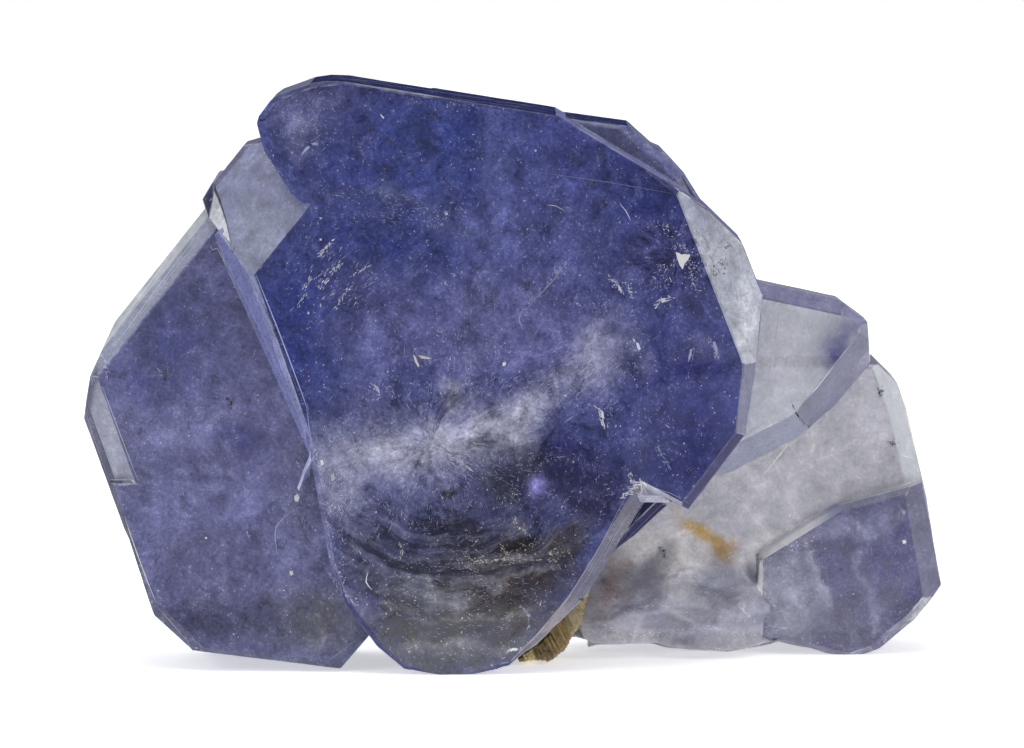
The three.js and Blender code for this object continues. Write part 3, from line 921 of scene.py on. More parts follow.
@dataclass(frozen=True)
class Chip:
    """A small facet that a break or a growth step left, with the wedge of crystal behind it.

    Each corner is a picture pixel and its depth along Y. Depths and the wedge's length are in mm.
    """

    name: str
    corners: tuple[tuple[float, float, float], ...]
    length: float

    def cut(self, edit: bmesh.types.BMesh) -> None:
        """Adds the wedge to a mesh, in metres."""
        front = [edit.verts.new(SIGHT.place((u, v), y) * MM) for u, v, y in self.corners]
        back = [edit.verts.new(SIGHT.place((u, v), y + self.length) * MM) for u, v, y in self.corners]
        edit.faces.new(front)
        edit.faces.new(back[::-1])
        for index, corner in enumerate(front):
            after = (index + 1) % len(front)
            edit.faces.new((corner, back[index], back[after], front[after]))


CHIPS = (
    Chip("dark triangle",
         ((213.1, 181.1, -3.3), (201.9, 199.3, -3.7), (207.9, 218.2, -4.6), (213.1, 195.8, -4.5)), 2.2),
    Chip(
        "grainy facet",
        ((213.8, 190.2, -4.4), (208.2, 218.2, -4.7), (232, 246.2, -7.05), (226.7, 222.4, -6.0),
         (218.7, 198.6, -4.8)),
        2.2,
    ),
    Chip(
        "wedge under the notch",
        ((644, 504, -7.65), (634, 516, -7.7), (608, 549, -8.0), (611.6, 552.8, -7.4), (633.2, 536.6, -6.2),
         (658.4, 513, -5.0), (667.4, 505, -4.6)),
        6.0,
    ),
)


@dataclass
class CrystalMesh:
    """The fused crystals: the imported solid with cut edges, divided finely and painted.

    Widths, spacings and reliefs are in mm. The warps of the clouds' outlines are in pixels.
    """

    edge_width: float = 0.07
    grid: float = 2.2
    front_spacing: float = 0.30
    rest_spacing: float = 0.95
    sharpest: float = math.radians(12)
    object: bpy.types.Object | None = None
    smoothing: float = 0.5
    smooth_rounds: int = 9
    broken_relief: float = 0.06
    facet_relief: float = 0.012
    warp: float = 13.0
    fine_warp: float = 5.0
    zone_warp: float = 1.2
    mottle: float = 0.30

    def copy_solid(self) -> None:
        """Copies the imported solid, and merges its loose triangles into facets."""
        node = frame["nodes"]["crystal_cluster"]
        self.object = node.copy()
        self.object.data = node.data.copy()
        self.object.name = "apatite_crystals"
        self.object.data.materials.clear()
        bpy.context.scene.collection.objects.link(self.object)
        edit_mesh(self.object, "VERT")
        bpy.ops.mesh.select_all(action="SELECT")
        bpy.ops.mesh.remove_doubles(threshold=2e-6)
        bpy.ops.mesh.dissolve_limited(angle_limit=math.radians(0.5))
        bpy.ops.mesh.dissolve_degenerate(threshold=6e-5)
        bpy.ops.mesh.dissolve_limited(angle_limit=math.radians(1))
        edit = bmesh.from_edit_mesh(self.object.data)
        for chip in CHIPS:
            chip.cut(edit)
        bmesh.update_edit_mesh(self.object.data)
        bpy.ops.object.mode_set(mode="OBJECT")

    def name_facets(self) -> None:
        """Gives each facet the number of its region, by its place or by the picture's pixels."""
        mesh = self.object.data
        facets = mesh.attributes.new("region", "INT", "FACE")
        for facet in mesh.polygons:
            facets.data[facet.index].value = NAMES.index(self._default(facet))
        tree = skin_tree(mesh)
        for name, region in REGIONS.items():
            for seed in region.seeds:
                index = tree.ray_cast(SIGHT.eye() * MM, SIGHT.ray(seed))[2]
                if index is None:
                    LOG.warning("no facet under the seed of %s", name)
                    continue
                facets.data[index].value = NAMES.index(name)

    def _default(self, facet: bpy.types.MeshPolygon) -> str:
        """Region of a facet that no seed names: a flat face, a rim beside it or a side of its crystal."""
        middle = np.array(facet.center) / MM
        crystal = self._crystal(middle)
        across, depth, height = middle
        aside = abs(facet.normal.y) < 0.25 and facet.area > 1.5e-6
        if crystal is Crystal.BROKEN and aside and depth < 0 and across < 15 and height > 5:
            return "main side"
        if abs(facet.normal.y) > 0.97 or crystal is Crystal.BROKEN and facet.normal.y < -0.3:
            return crystal.value
        if facet.normal.y < -0.6 and crystal in (Crystal.MAIN, Crystal.LEFT):
            return f"{crystal.value} rim"
        return f"{crystal.value} side"

    def _crystal(self, middle: np.ndarray) -> Crystal:
        """Crystal that a facet belongs to, by the place of its middle.

        The bounds between the crystals are the part's own, in mm.

        Args:
            middle: the facet's middle, in mm.

        Returns:
            The crystal.
        """
        across, depth, height = middle
        wall = np.interp(height, [2.7, 7.9, 15.2, 32.4], [-10.0, -12.5, -13.8, -20.5])
        if across < wall - 0.2 and depth > -8.4:
            return Crystal.LEFT
        if 3.2 < across < 16 and depth > -3.2 and height < 5:
            return Crystal.BROKEN
        if depth < 3.3 and across < 4.5 or depth < -3.6:
            return Crystal.MAIN
        if height > 27.4 and depth < 5.1:
            return Crystal.UPPER
        if depth < 3.3 and across < 16.7 and height > 14:
            return Crystal.MAIN
        if height > 19 and depth < 6.8 or (height > 14 and depth < 1.4):
            return Crystal.PALE
        if depth > 1.5 and height > 10.2:
            return Crystal.FAR
        if across > 17.8 and height < 11.5:
            return Crystal.BLUE
        return Crystal.BROKEN

    def cut_edges(self) -> None:
        """Takes a hair's width off the long sharp edges, and marks those strips, which get a painted
        highlight.
        """
        mesh = self.object.data
        mesh.attributes.new("strip", "INT", "FACE")
        edit_mesh(self.object, "EDGE")
        bpy.ops.mesh.select_all(action="DESELECT")
        edit = bmesh.from_edit_mesh(mesh)
        for edge in edit.edges:
            sides = edge.link_faces
            large = len(sides) == 2 and min(side.calc_area() for side in sides) > 0.4e-6
            if large and edge.calc_face_angle() > self.sharpest and edge.calc_length() > 0.25e-3:
                edge.select = True
        bmesh.update_edit_mesh(mesh)
        width = self.edge_width * MM
        bpy.ops.mesh.bevel(offset=width, segments=1, clamp_overlap=False, affect="EDGES")
        edit = bmesh.from_edit_mesh(mesh)
        strip = edit.faces.layers.int["strip"]
        for face in edit.faces:
            thin = face.calc_area() < face.calc_perimeter() * width * 0.9
            face[strip] = int(face.select and thin)
        bmesh.update_edit_mesh(mesh)
        bpy.ops.mesh.select_all(action="SELECT")
        bpy.ops.mesh.dissolve_degenerate(threshold=3e-6)
        bpy.ops.object.mode_set(mode="OBJECT")

    def slice(self) -> None:
        """Cuts the facets by a grid of planes, so that no long thin triangles come of them."""
        edit_mesh(self.object, "VERT")
        low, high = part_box("crystal_cluster")
        for axis in range(3):
            normal = [float(axis == other) for other in range(3)]
            start, end = low[axis] / MM, high[axis] / MM
            count = round((end - start) / self.grid)
            for step in range(1, count):
                place = start + (end - start) * (step + 0.37) / (count + 0.37)
                bpy.ops.mesh.select_all(action="SELECT")
                bpy.ops.mesh.bisect(plane_co=[part * place * MM for part in normal], plane_no=normal)
        bpy.ops.mesh.select_all(action="SELECT")
        bpy.ops.mesh.dissolve_degenerate(threshold=3e-6)
        bpy.ops.object.mode_set(mode="OBJECT")

    def divide(self) -> None:
        """Divides the facets until their edges are short, more finely where they face the front."""
        mesh = self.object.data
        edit_mesh(self.object, "EDGE")
        limit = self.grid * 1.5
        while limit > self.front_spacing:
            limit = max(limit / 1.6, self.front_spacing)
            bpy.ops.mesh.select_all(action="SELECT")
            bpy.ops.mesh.quads_convert_to_tris(quad_method="BEAUTY", ngon_method="BEAUTY")
            for _ in range(2):
                edit = bmesh.from_edit_mesh(mesh)
                bpy.ops.mesh.select_all(action="DESELECT")
                found = 0
                for edge in edit.edges:
                    length = edge.calc_length() / MM
                    if length <= limit:
                        continue
                    front = any(face.normal.y < -0.2 for face in edge.link_faces)
                    if front or length > self.rest_spacing:
                        edge.select = True
                        found += 1
                bmesh.update_edit_mesh(mesh)
                if found:
                    bpy.ops.mesh.subdivide(number_cuts=1)
        bpy.ops.mesh.select_all(action="SELECT")
        bpy.ops.mesh.quads_convert_to_tris(quad_method="BEAUTY", ngon_method="BEAUTY")
        bpy.ops.object.mode_set(mode="OBJECT")

    def soften(self) -> None:
        """Rounds the broken faces, and gives them smooth shading."""
        mesh = self.object.data
        breaks = [NAMES.index(name) for name in BREAKS]
        picked = np.isin(numbers(mesh.attributes["region"].data, "value"), breaks)
        mesh.polygons.foreach_set("use_smooth", picked)
        edit_mesh(self.object, "FACE")
        bpy.ops.mesh.select_all(action="DESELECT")
        bpy.ops.object.mode_set(mode="OBJECT")
        mesh.polygons.foreach_set("select", picked)
        bpy.ops.object.mode_set(mode="EDIT")
        bpy.ops.mesh.select_less()
        bpy.ops.mesh.vertices_smooth(factor=self.smoothing, repeat=self.smooth_rounds)
        bpy.ops.object.mode_set(mode="OBJECT")

    def weather(self) -> None:
        """Rounds the foot, waves the underside and roughens the broken faces, all by moving points."""
        mesh = self.object.data
        points = numbers(mesh.vertices, "co", 3, float) / MM
        normals = numbers(mesh.vertex_normals, "vector", 3, float)
        across, depth, height = points.T
        foot = np.interp(across, FOOT_PLACES, FOOT_LIFTS) * np.clip(1 - height / 4, 0, 1) * (depth < 3.3)
        under = np.interp(across, UNDER_PLACES, UNDER_LIFTS) * np.clip(1 - height / 3, 0, 1)
        lift = np.where(across < 4, foot, under)
        coarse = [NAMES.index(name) for name in (*BREAKS, "grain chip")]
        picked = np.isin(numbers(mesh.attributes["region"].data, "value"), coarse)
        rugged = np.zeros(len(points), dtype=bool)
        rugged[numbers(mesh.loops, "vertex_index")[np.repeat(picked, 3)]] = True
        wave = Noise(11).layered(points, 1.6, 4, 0.6)
        rough = wave * np.where(rugged, self.broken_relief, self.facet_relief)
        points[:, 2] += lift
        points += normals * rough[:, None]
        low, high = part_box("crystal_cluster")
        points = np.clip(points, np.array(low) / MM, np.array(high) / MM)
        mesh.vertices.foreach_set("co", (points * MM).ravel())
        mesh.update()

    def paint(self) -> None:
        """Works out the tint and the veil at every corner of every face."""
        mesh = self.object.data
        points = numbers(mesh.vertices, "co", 3, float) / MM
        loops = numbers(mesh.loops, "vertex_index")
        totals = numbers(mesh.polygons, "loop_total")
        region = np.repeat(numbers(mesh.attributes["region"].data, "value"), totals)
        strip = np.repeat(numbers(mesh.attributes["strip"].data, "value"), totals)
        spots = SIGHT.picture(points)
        warp = np.stack([Noise(3).layered(points, 4.5), Noise(4).layered(points, 4.5)], axis=1)
        fine = np.stack([Noise(5).layered(points, 1.1), Noise(6).layered(points, 1.1)], axis=1)
        warped = spots + warp * self.warp + fine * self.fine_warp
        straight = spots + fine * self.zone_warp
        mottle = Noise(7).layered(points, 2.4, 4, 0.7)[loops]
        bases = np.array([[*r.tint, r.milk, r.frost, r.specks, r.dull] for r in REGIONS.values()])
        paint = bases[region]
        for name, clouds in CLOUDS.items():
            inside = region == NAMES.index(name)
            for cloud in clouds:
                sharp = isinstance(cloud, Zone)
                mask = cloud.mask(straight if sharp else warped)[loops] * cloud.strength
                if not sharp:
                    mask *= 1 + 0.35 * mottle
                mask = np.clip(mask, 0, 1) * inside
                paint[:, :3] += (np.array(cloud.tint) - paint[:, :3]) * mask[:, None]
                paint[:, 3] += cloud.milk * mask
        paint[:, :3] *= np.clip(1 + self.mottle * mottle * paint[:, 5], 0.5, 1.7)[:, None]
        # Painted highlight: the edge strips are tinted towards a pale glint colour, except along the listed
        # dull edges, which turn dull instead
        glint = np.clip(0.35 + 0.5 * Noise(8).layered(points, 0.9)[loops], 0, 0.8) * strip
        for edge in DULL_EDGES.values():
            mask = edge.strength * edge.mask(spots)[loops]
            glint *= 1 - mask
            paint[:, 6] = np.maximum(paint[:, 6], mask * strip)
        paint[:, :3] += (np.array(EDGE_GLINT) - paint[:, :3]) * glint[:, None]
        self._store("tint", np.concatenate([paint[:, :3], np.ones((len(paint), 1))], axis=1))
        self._store("veil", np.clip(paint[:, 3:], 0, 1))

    def _store(self, name: str, colours: np.ndarray) -> None:
        """Writes four numbers for every corner of the mesh."""
        layer = self.object.data.attributes.new(name, "FLOAT_COLOR", "CORNER")
        layer.data.foreach_set("color", colours.astype(np.float32).ravel())

    def build(self) -> bpy.types.Object:
        """Makes the crystals' mesh and dresses it.

        Returns:
            The finished piece.
        """
        self.copy_solid()
        self.name_facets()
        self.cut_edges()
        self.slice()
        self.divide()
        self.soften()
        self.weather()
        self.paint()
        self.object.data.materials.append(ApatiteFinish().make())
        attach(self.object, "root")
        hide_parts("crystal_cluster")
        return self.object


class Lie(Enum):
    """How the fibres of a field lie."""

    STRAIGHT = "straight"
    RADIAL = "radial"
    ROUND = "round"


@dataclass(frozen=True)
class Feather:
    """One hairline, healed crack, or painted highlight of a thin edge, along picture pixels.

    Its width is in pixels too. A crumbly one is a row of slivers, so many for each pixel of its length.
    """

    path: tuple[Pixel, ...]
    width: float = 1.0
    strength: float = 0.6
    tint: Tint = WHITE
    crumbs: float = 0.0


@dataclass(frozen=True)
class Fibres:
    """A field of short fine feathers around one place, in picture pixels and degrees.

    Its count is of the places tried, of which the clumps keep some.
    """

    on: tuple[str, ...]
    at: Pixel
    size: Pixel
    count: int
    length: Pixel
    lie: Lie = Lie.STRAIGHT
    angle: float = 0.0
    spread: float = 20.0
    width: Pixel = (0.5, 1.2)
    strength: Pixel = (0.12, 0.5)
    tint: Tint = PALE_BLUE


@dataclass(frozen=True)
class Flecks:
    """A scatter of small grains around one place or along a line, in picture pixels.

    Its count is of the places tried, of which the clumps keep some.
    """

    on: tuple[str, ...]
    path: tuple[Pixel, ...]
    size: Pixel
    count: int
    grain: Pixel = (0.5, 1.6)
    strength: Pixel = (0.3, 0.8)
    tint: Tint = tint(206, 211, 236)


MAIN = ("main",)
LEFT = ("left",)
RIGHT = ("pale", "far", "blue", "broken")
BONE = tint(222, 218, 196)
# Dark grains, and the painted shade of small pits in the skin
DARK_GRAIN_AND_PIT_SHADE = tint(20, 20, 40)

FEATHERS: tuple[Feather, ...] = (
    # Striations of the top
    Feather(((328, 77), (400, 84), (496, 96)), 0.8, 0.5, MIST),
    Feather(((336, 81), (390, 89), (450, 99)), 1.2, 0.6, MILK),
    Feather(((345, 79), (440, 92), (545, 108)), 0.7, 0.4, MIST),
    Feather(((350, 84), (410, 93), (470, 102)), 0.8, 0.5, MILK),
    Feather(((380, 88), (450, 98), (520, 107)), 0.7, 0.4, MIST),
    # Left wall, with a painted highlight along its edge
    Feather(((256, 275), (280, 335), (302, 394), (306, 406)), 1.8, 0.8, PALE_BLUE),
    Feather(((214, 237), (260, 330), (308, 436)), 1.1, 0.4, PALE_BLUE),
    Feather(((233, 249), (268, 322), (298, 398)), 0.8, 0.3, PALE_BLUE),
    Feather(((248, 272), (276, 334), (298, 392)), 2.2, 0.8, INK),
    Feather(((238, 262), (262, 312), (292, 380)), 1.0, 0.3, INK),
    Feather(((306, 404), (311, 440), (314, 452)), 1.2, 0.4, PALE_BLUE),
    Feather(((306, 404), (316, 436), (320, 470), (326, 510)), 1.4, 0.6, PALE_BLUE, 0.5),
    # Painted highlights along the left crystal's edges
    Feather(((98, 352), (150, 283), (202, 208)), 1.6, 0.8),
    Feather(((105, 359), (160, 284), (208, 220))),
    Feather(((118, 345), (164, 283), (214, 222)), 0.8, 0.4),
    Feather(((124, 516), (140, 562), (156, 603)), 1.4, 0.7, BONE),
    Feather(((102, 386), (120, 434), (138, 481)), 1.0, 0.4),
    Feather(((88, 380), (86, 412), (108, 478)), 1.0, 0.3),
    Feather(((158, 608), (190, 644)), 0.9, 0.3),
    Feather(((330, 660), (349, 645), (366, 634)), 0.8, 0.3),
    # Left crystal's cracks
    Feather(((209, 243), (213, 250), (217, 248), (222, 258)), 1.0, 0.7),
    Feather(((314, 450), (308, 472), (298, 494)), 3.4, 0.6, PALE_BLUE, 0.8),
    Feather(((290, 512), (279, 523), (275, 532), (277, 554)), 1.3, 0.6, MILK),
    Feather(((220, 578), (223, 592)), 1.4, 0.6, WHITE, 0.6),
    Feather(((298, 462), (304, 476), (300, 490)), 2.0, 0.7, WHITE, 0.8),
    Feather(((246, 532), (250, 537)), 1.6, 0.7, WHITE, 0.8),
    Feather(((194, 283), (200, 289), (208, 293)), 1.4, 0.6, WHITE, 0.6),
    Feather(((150, 289), (156, 293)), 1.8, 0.8, WHITE, 0.8),
    Feather(((96, 352), (104, 358), (108, 380)), 2.6, 0.7, PALE_BLUE, 0.7),
    Feather(((100, 350), (98, 366), (92, 384)), 1.8, 0.6, WHITE, 0.6),
    # Seam of the two crystals
    # Painted highlight along the lower seam's edge
    Feather(((330, 574), (346, 596), (360, 607)), 2.4, 0.7, PALE_BLUE, 0.8),
    Feather(((329, 500), (331, 520), (333, 538)), 1.2, 0.6, WHITE, 0.5),
    Feather(((312, 536), (326, 568), (358, 606)), 1.2, 0.6, PALE_BLUE, 0.4),
    Feather(((316, 462), (322, 500), (330, 540)), 1.2, 0.6, PALE_BLUE, 0.6),
    Feather(((320, 444), (326, 470), (334, 500)), 1.6, 0.5, MILK, 0.6),
    Feather(((300, 500), (306, 530), (320, 566)), 1.2, 0.5, PALE_BLUE, 0.4),
    # Sparkling streaks
    Feather(((320, 254), (327, 247), (334, 240)), 3.0, 0.9, WHITE, 1.2),
    Feather(((303, 289), (308, 282), (312, 276)), 2.4, 0.9, WHITE, 1.0),
    Feather(((320, 288), (330, 276), (340, 264)), 2.8, 0.9, WHITE, 1.0),
    Feather(((317, 284), (328, 270), (336, 262)), 1.4, 0.8, PALE_BLUE, 0.6),
    Feather(((352, 275), (361, 270), (370, 266)), 2.2, 0.8, WHITE, 0.9),
    Feather(((334, 310), (343, 297), (352, 284)), 2.2, 0.8, WHITE, 0.8),
    Feather(((298, 306), (306, 294)), 2.0, 0.9, WHITE, 1.0),
    Feather(((340, 250), (352, 232)), 1.0, 0.5, PALE_BLUE, 0.4),
    Feather(((360, 290), (384, 268), (404, 254)), 1.2, 0.4, MILK, 0.4),
    Feather(((352, 306), (372, 330)), 1.2, 0.4, MILK, 0.4),
    Feather(((380, 114), (384, 119)), 1.8, 0.9),
    Feather(((310, 122), (318, 112), (326, 108)), 1.2, 0.6, WHITE, 0.5),
    Feather(((322, 150), (330, 144)), 1.2, 0.6, PALE_BLUE, 0.6),
    # Hairlines of the right half
    Feather(((568, 260), (548, 282), (524, 308)), 2.6, 0.5, MILK, 0.8),
    Feather(((567, 262), (550, 284), (530, 304)), 0.9, 0.5, MILK),
    Feather(((524, 308), (519, 318), (523, 330)), 1.2, 0.5, MILK),
    Feather(((620, 204), (626, 211), (631, 221)), 1.2, 0.8),
    Feather(((546, 205), (556, 206), (566, 212))),
    Feather(((577, 222), (584, 229)), 1.4, 0.8, WHITE, 0.8),
    Feather(((528, 171), (600, 181), (676, 194)), 0.8, 0.25, MIST),
    Feather(((516, 157), (527, 169)), 1.4, 0.7, WHITE, 0.5),
    Feather(((694, 348), (692, 362), (687, 378)), 1.4, 0.6, WHITE, 0.6),
    Feather(((710, 340), (714, 350), (718, 360)), 3.0, 0.5, MILK, 1.0),
    Feather(((599, 408), (602, 418), (604, 428)), 3.2, 0.8, WHITE, 1.4),
    Feather(((656, 446), (663, 457), (670, 468)), 2.4, 0.6, PALE_BLUE, 0.9),
    Feather(((610, 278), (618, 284), (622, 292)), 2.8, 0.8, WHITE, 1.2),
    Feather(((626, 288), (634, 300)), 2.2, 0.8, WHITE, 1.0),
    Feather(((656, 306), (664, 300), (672, 298)), 2.6, 0.8, WHITE, 1.2),
    Feather(((512, 408), (545, 390), (580, 370)), 1.4, 0.5, MILK, 0.4),
    Feather(((540, 402), (568, 382)), 1.2, 0.5, MILK, 0.5),
    Feather(((560, 372), (590, 344), (604, 322)), 3.0, 0.3, MILK, 0.6),
    Feather(((526, 366), (534, 380)), 1.2, 0.5, MILK, 0.5),
    Feather(((574, 302), (580, 288)), 1.6, 0.6, PALE_BLUE, 0.7),
    Feather(((642, 412), (652, 424)), 1.6, 0.5, PALE_BLUE, 0.7),
    # Star
    Feather(((360, 372), (378, 382), (396, 398)), 1.2, 0.4, MILK, 0.6),
    Feather(((372, 384), (380, 394)), 2.6, 0.7, WHITE, 1.0),
    Feather(((438, 364), (456, 370), (474, 376)), 1.4, 0.5, INK),
    Feather(((436, 450), (456, 460), (470, 468)), 3.2, 0.5, MILK, 1.0),
    Feather(((466, 466), (474, 472)), 1.6, 0.7, BONE),
    Feather(((476, 470), (510, 484), (520, 494)), 1.6, 0.35, MILK, 0.6),
    # Flakes of the lower lobe
    Feather(((398, 540), (402, 549), (400, 558)), 1.8, 0.7, BONE, 0.9),
    Feather(((384, 602), (392, 610), (400, 616)), 1.7, 0.7, BONE, 0.9),
    Feather(((368, 572), (366, 582), (372, 590)), 1.6, 0.8),
    Feather(((507, 651), (514, 649), (521, 649)), 2.6, 0.9, WHITE, 1.2),
    Feather(((462, 556), (480, 562), (500, 560), (520, 556)), 2.0, 0.6, BONE, 0.9),
    Feather(((500, 546), (506, 552), (504, 560)), 2.4, 0.7, BONE, 0.9),
    Feather(((500, 566), (530, 560), (560, 562)), 1.8, 0.5, BONE, 0.7),
    Feather(((514, 518), (520, 528), (528, 536)), 2.6, 0.6, BONE, 0.9),
    Feather(((548, 556), (556, 548)), 2.2, 0.7, BONE, 0.9),
    Feather(((566, 552), (590, 534)), 1.6, 0.5, MILK, 0.6),
    Feather(((520, 606), (530, 618), (528, 630)), 2.6, 0.6, PALE_BLUE, 0.9),
    # Long strip of the lobe
    # Painted highlight along the strip's long edge
    Feather(((626, 496), (592, 560), (547, 629), (526, 663)), 1.0, 0.5, MILK),
    Feather(((654, 494), (634, 512), (620, 538), (604, 556)), 1.4, 0.6, WHITE, 0.6),
    Feather(((642, 498), (622, 524), (604, 556)), 0.9, 0.5, MILK),
    Feather(((631, 499), (600, 558), (560, 618)), 0.8, 0.3, MILK),
    Feather(((636, 502), (612, 544), (590, 580)), 0.8, 0.3, MILK),
    Feather(((612, 556), (580, 606), (536, 656)), 0.8, 0.3, MILK),
    Feather(((590, 590), (566, 618), (536, 652)), 0.8, 0.35, MAUVE),
    Feather(((598, 572), (576, 604), (548, 640)), 1.0, 0.3, VIOLET),
    # Shoulder
    Feather(((655, 488), (672, 494), (690, 504)), 1.0, 0.5, MILK),
    Feather(((622, 496), (632, 490), (640, 484), (646, 489)), 3.6, 0.8, WHITE, 1.2),
    Feather(((630, 474), (634, 486), (640, 494)), 2.4, 0.7, WHITE, 1.0),
    Feather(((644, 500), (668, 504)), 0.9, 0.5, MILK),
    Feather(((640, 512), (632, 526), (622, 540)), 1.0, 0.4, MILK),
    # Right bevel
    # Painted highlight along the bevel's inner edge
    Feather(((677, 194), (708, 264), (741, 356)), 0.8, 0.3, MILK),
    Feather(((674, 187), (690, 198), (705, 207)), 1.6, 0.9),
    Feather(((748, 253), (755, 269), (760, 283)), 1.4, 0.7, NAVY),
    Feather(((720, 296), (732, 300), (750, 291)), 0.7, 0.5, ASH),
    Feather(((734, 318), (744, 312), (755, 318)), 0.7, 0.5, ASH),
    Feather(((716, 272), (728, 276), (736, 290), (738, 306)), 0.7, 0.4, ASH),
    Feather(((728, 316), (740, 330), (748, 342)), 0.7, 0.4, ASH),
    Feather(((724, 290), (720, 300), (726, 312)), 0.7, 0.4, ASH),
    Feather(((761, 293), (754, 316), (748, 342)), 0.9, 0.5),
    Feather(((741, 358), (744, 396), (744, 432)), 1.2, 0.5, MILK, 0.5),
    Feather(((744, 434), (718, 470), (691, 504)), 0.8, 0.3, MILK),
    # Pale crystals
    # Painted highlight along the pale crystal's lower edge
    Feather(((806, 400), (820, 384), (834, 366)), 1.5, 0.8),
    Feather(((746, 434), (764, 423)), 1.2, 0.6, VIOLET),
    Feather(((797, 431), (782, 452), (765, 473)), 2.0, 0.7),
    # Painted highlight along the far crystal's bevel
    Feather(((896, 375), (908, 420), (924, 484)), 1.6, 0.8),
    Feather(((913, 427), (919, 450), (924, 474)), 0.9, 0.6, VIOLET),
    Feather(((898, 454), (908, 457), (918, 458))),
    Feather(((878, 362), (892, 400), (908, 470)), 0.8, 0.3),
    Feather(((782, 300), (776, 340), (770, 380)), 2.0, 0.2, MIST),
    # Blue crystal
    Feather(((806, 556), (811, 575), (816, 592)), 1.4, 0.5, MILK, 0.6),
    Feather(((868, 540), (874, 580), (880, 620)), 3.0, 0.3, MILK, 0.5),
    Feather(((899, 520), (900, 512), (905, 508)), 1.4, 0.6, WHITE, 0.8),
    Feather(((810, 536), (860, 510), (914, 490)), 1.2, 0.35, MILK, 0.5),
    Feather(((900, 632), (925, 612), (944, 595)), 2.6, 0.7, BONE, 1.0),
    Feather(((922, 486), (932, 530), (943, 590)), 1.2, 0.4, MILK),
    # Broken mass
    Feather(((693, 572), (696, 584), (706, 593), (724, 594)), 2.0, 0.6, WHITE, 0.8),
    Feather(((706, 566), (724, 570), (738, 584)), 2.0, 0.5, WHITE, 0.6),
    Feather(((600, 628), (650, 634), (700, 628), (760, 636)), 3.0, 0.4, WHITE, 0.5),
    Feather(((612, 612), (660, 606), (690, 614)), 2.4, 0.4, WHITE, 0.5),
    Feather(((736, 600), (756, 622), (790, 630)), 3.0, 0.5, WHITE, 0.6),
    Feather(((758, 584), (768, 598), (780, 612)), 2.4, 0.6, WHITE, 0.8),
    Feather(((644, 600), (655, 598), (667, 593)), 1.4, 0.6, SMOKE),
    Feather(((732, 556), (756, 548), (790, 544)), 2.0, 0.6, WHITE, 0.8),
    Feather(((600, 600), (640, 610), (690, 606)), 1.2, 0.3, MILK, 0.4),
    Feather(((700, 470), (740, 500), (760, 530)), 1.0, 0.3),
    Feather(((740, 566), (752, 574), (760, 590)), 1.2, 0.5, ASH, 0.6),
)

FIBRES: tuple[Fibres, ...] = (
    # Star, its column and fan
    Fibres(MAIN, (428, 446), (130, 90), 900, (4, 15), Lie.RADIAL, spread=16),
    Fibres(MAIN, (430, 446), (50, 26), 260, (4, 12), Lie.RADIAL, spread=24, strength=(0.1, 0.3)),
    Fibres(MAIN, (468, 340), (26, 60), 160, (4, 16), angle=84, spread=14),
    Fibres(MAIN, (420, 370), (80, 40), 260, (4, 14), angle=70, spread=40),
    Fibres(MAIN, (560, 380), (60, 44), 340, (4, 16), angle=36, spread=16),
    # Streaks, crinkles and sparkle of the main crystal
    Fibres(MAIN, (602, 350), (40, 44), 220, (3, 10), angle=50, spread=40),
    Fibres(MAIN, (326, 276), (30, 34), 160, (3, 10), angle=52, spread=10, strength=(0.3, 0.9), tint=WHITE),
    Fibres(MAIN, (350, 290), (50, 44), 200, (4, 14), angle=46, spread=20),
    Fibres(MAIN, (680, 258), (20, 44), 420, (2, 9), spread=90, strength=(0.3, 0.95), tint=WHITE),
    Fibres(MAIN, (630, 300), (60, 36), 340, (3, 9), angle=110, spread=70, tint=PALE_BLUE),
    Fibres(MAIN, (650, 400), (60, 66), 360, (3, 9), angle=80, spread=60, tint=PALE_BLUE),
    # Lower lobe and its seam
    Fibres(MAIN, (560, 480), (70, 40), 300, (3, 9), angle=20, spread=80, tint=PALE_BLUE),
    Fibres(MAIN, (440, 500), (100, 120), 1000, (3, 12), Lie.ROUND, spread=26),
    Fibres(MAIN, (480, 600), (80, 50), 700, (3, 11), angle=-4, spread=30),
    Fibres(MAIN, (334, 490), (24, 66), 520, (3, 10), angle=80, spread=60, strength=(0.2, 0.8)),
    # Upper part and dark threads
    Fibres(MAIN, (400, 212), (70, 18), 240, (3, 12), angle=-14, spread=24),
    Fibres(MAIN, (296, 118), (32, 28), 300, (2, 7), angle=40, spread=90),
    Fibres(MAIN, (520, 250), (80, 50), 340, (3, 10), angle=60, spread=60),
    Fibres(MAIN, (440, 480), (120, 90), 400, (4, 14), Lie.RADIAL, spread=30, tint=INK),
    # Left crystal
    Fibres(LEFT, (210, 450), (100, 130), 520, (2, 8), angle=70, spread=90),
    Fibres(LEFT, (296, 500), (20, 60), 180, (3, 9), angle=80, spread=50, strength=(0.2, 0.6)),
    # Right side
    Fibres(RIGHT, (720, 560), (110, 80), 420, (3, 10), angle=20, spread=70),
    Fibres(("blue",), (850, 570), (60, 60), 160, (3, 12), angle=75, spread=24),
)

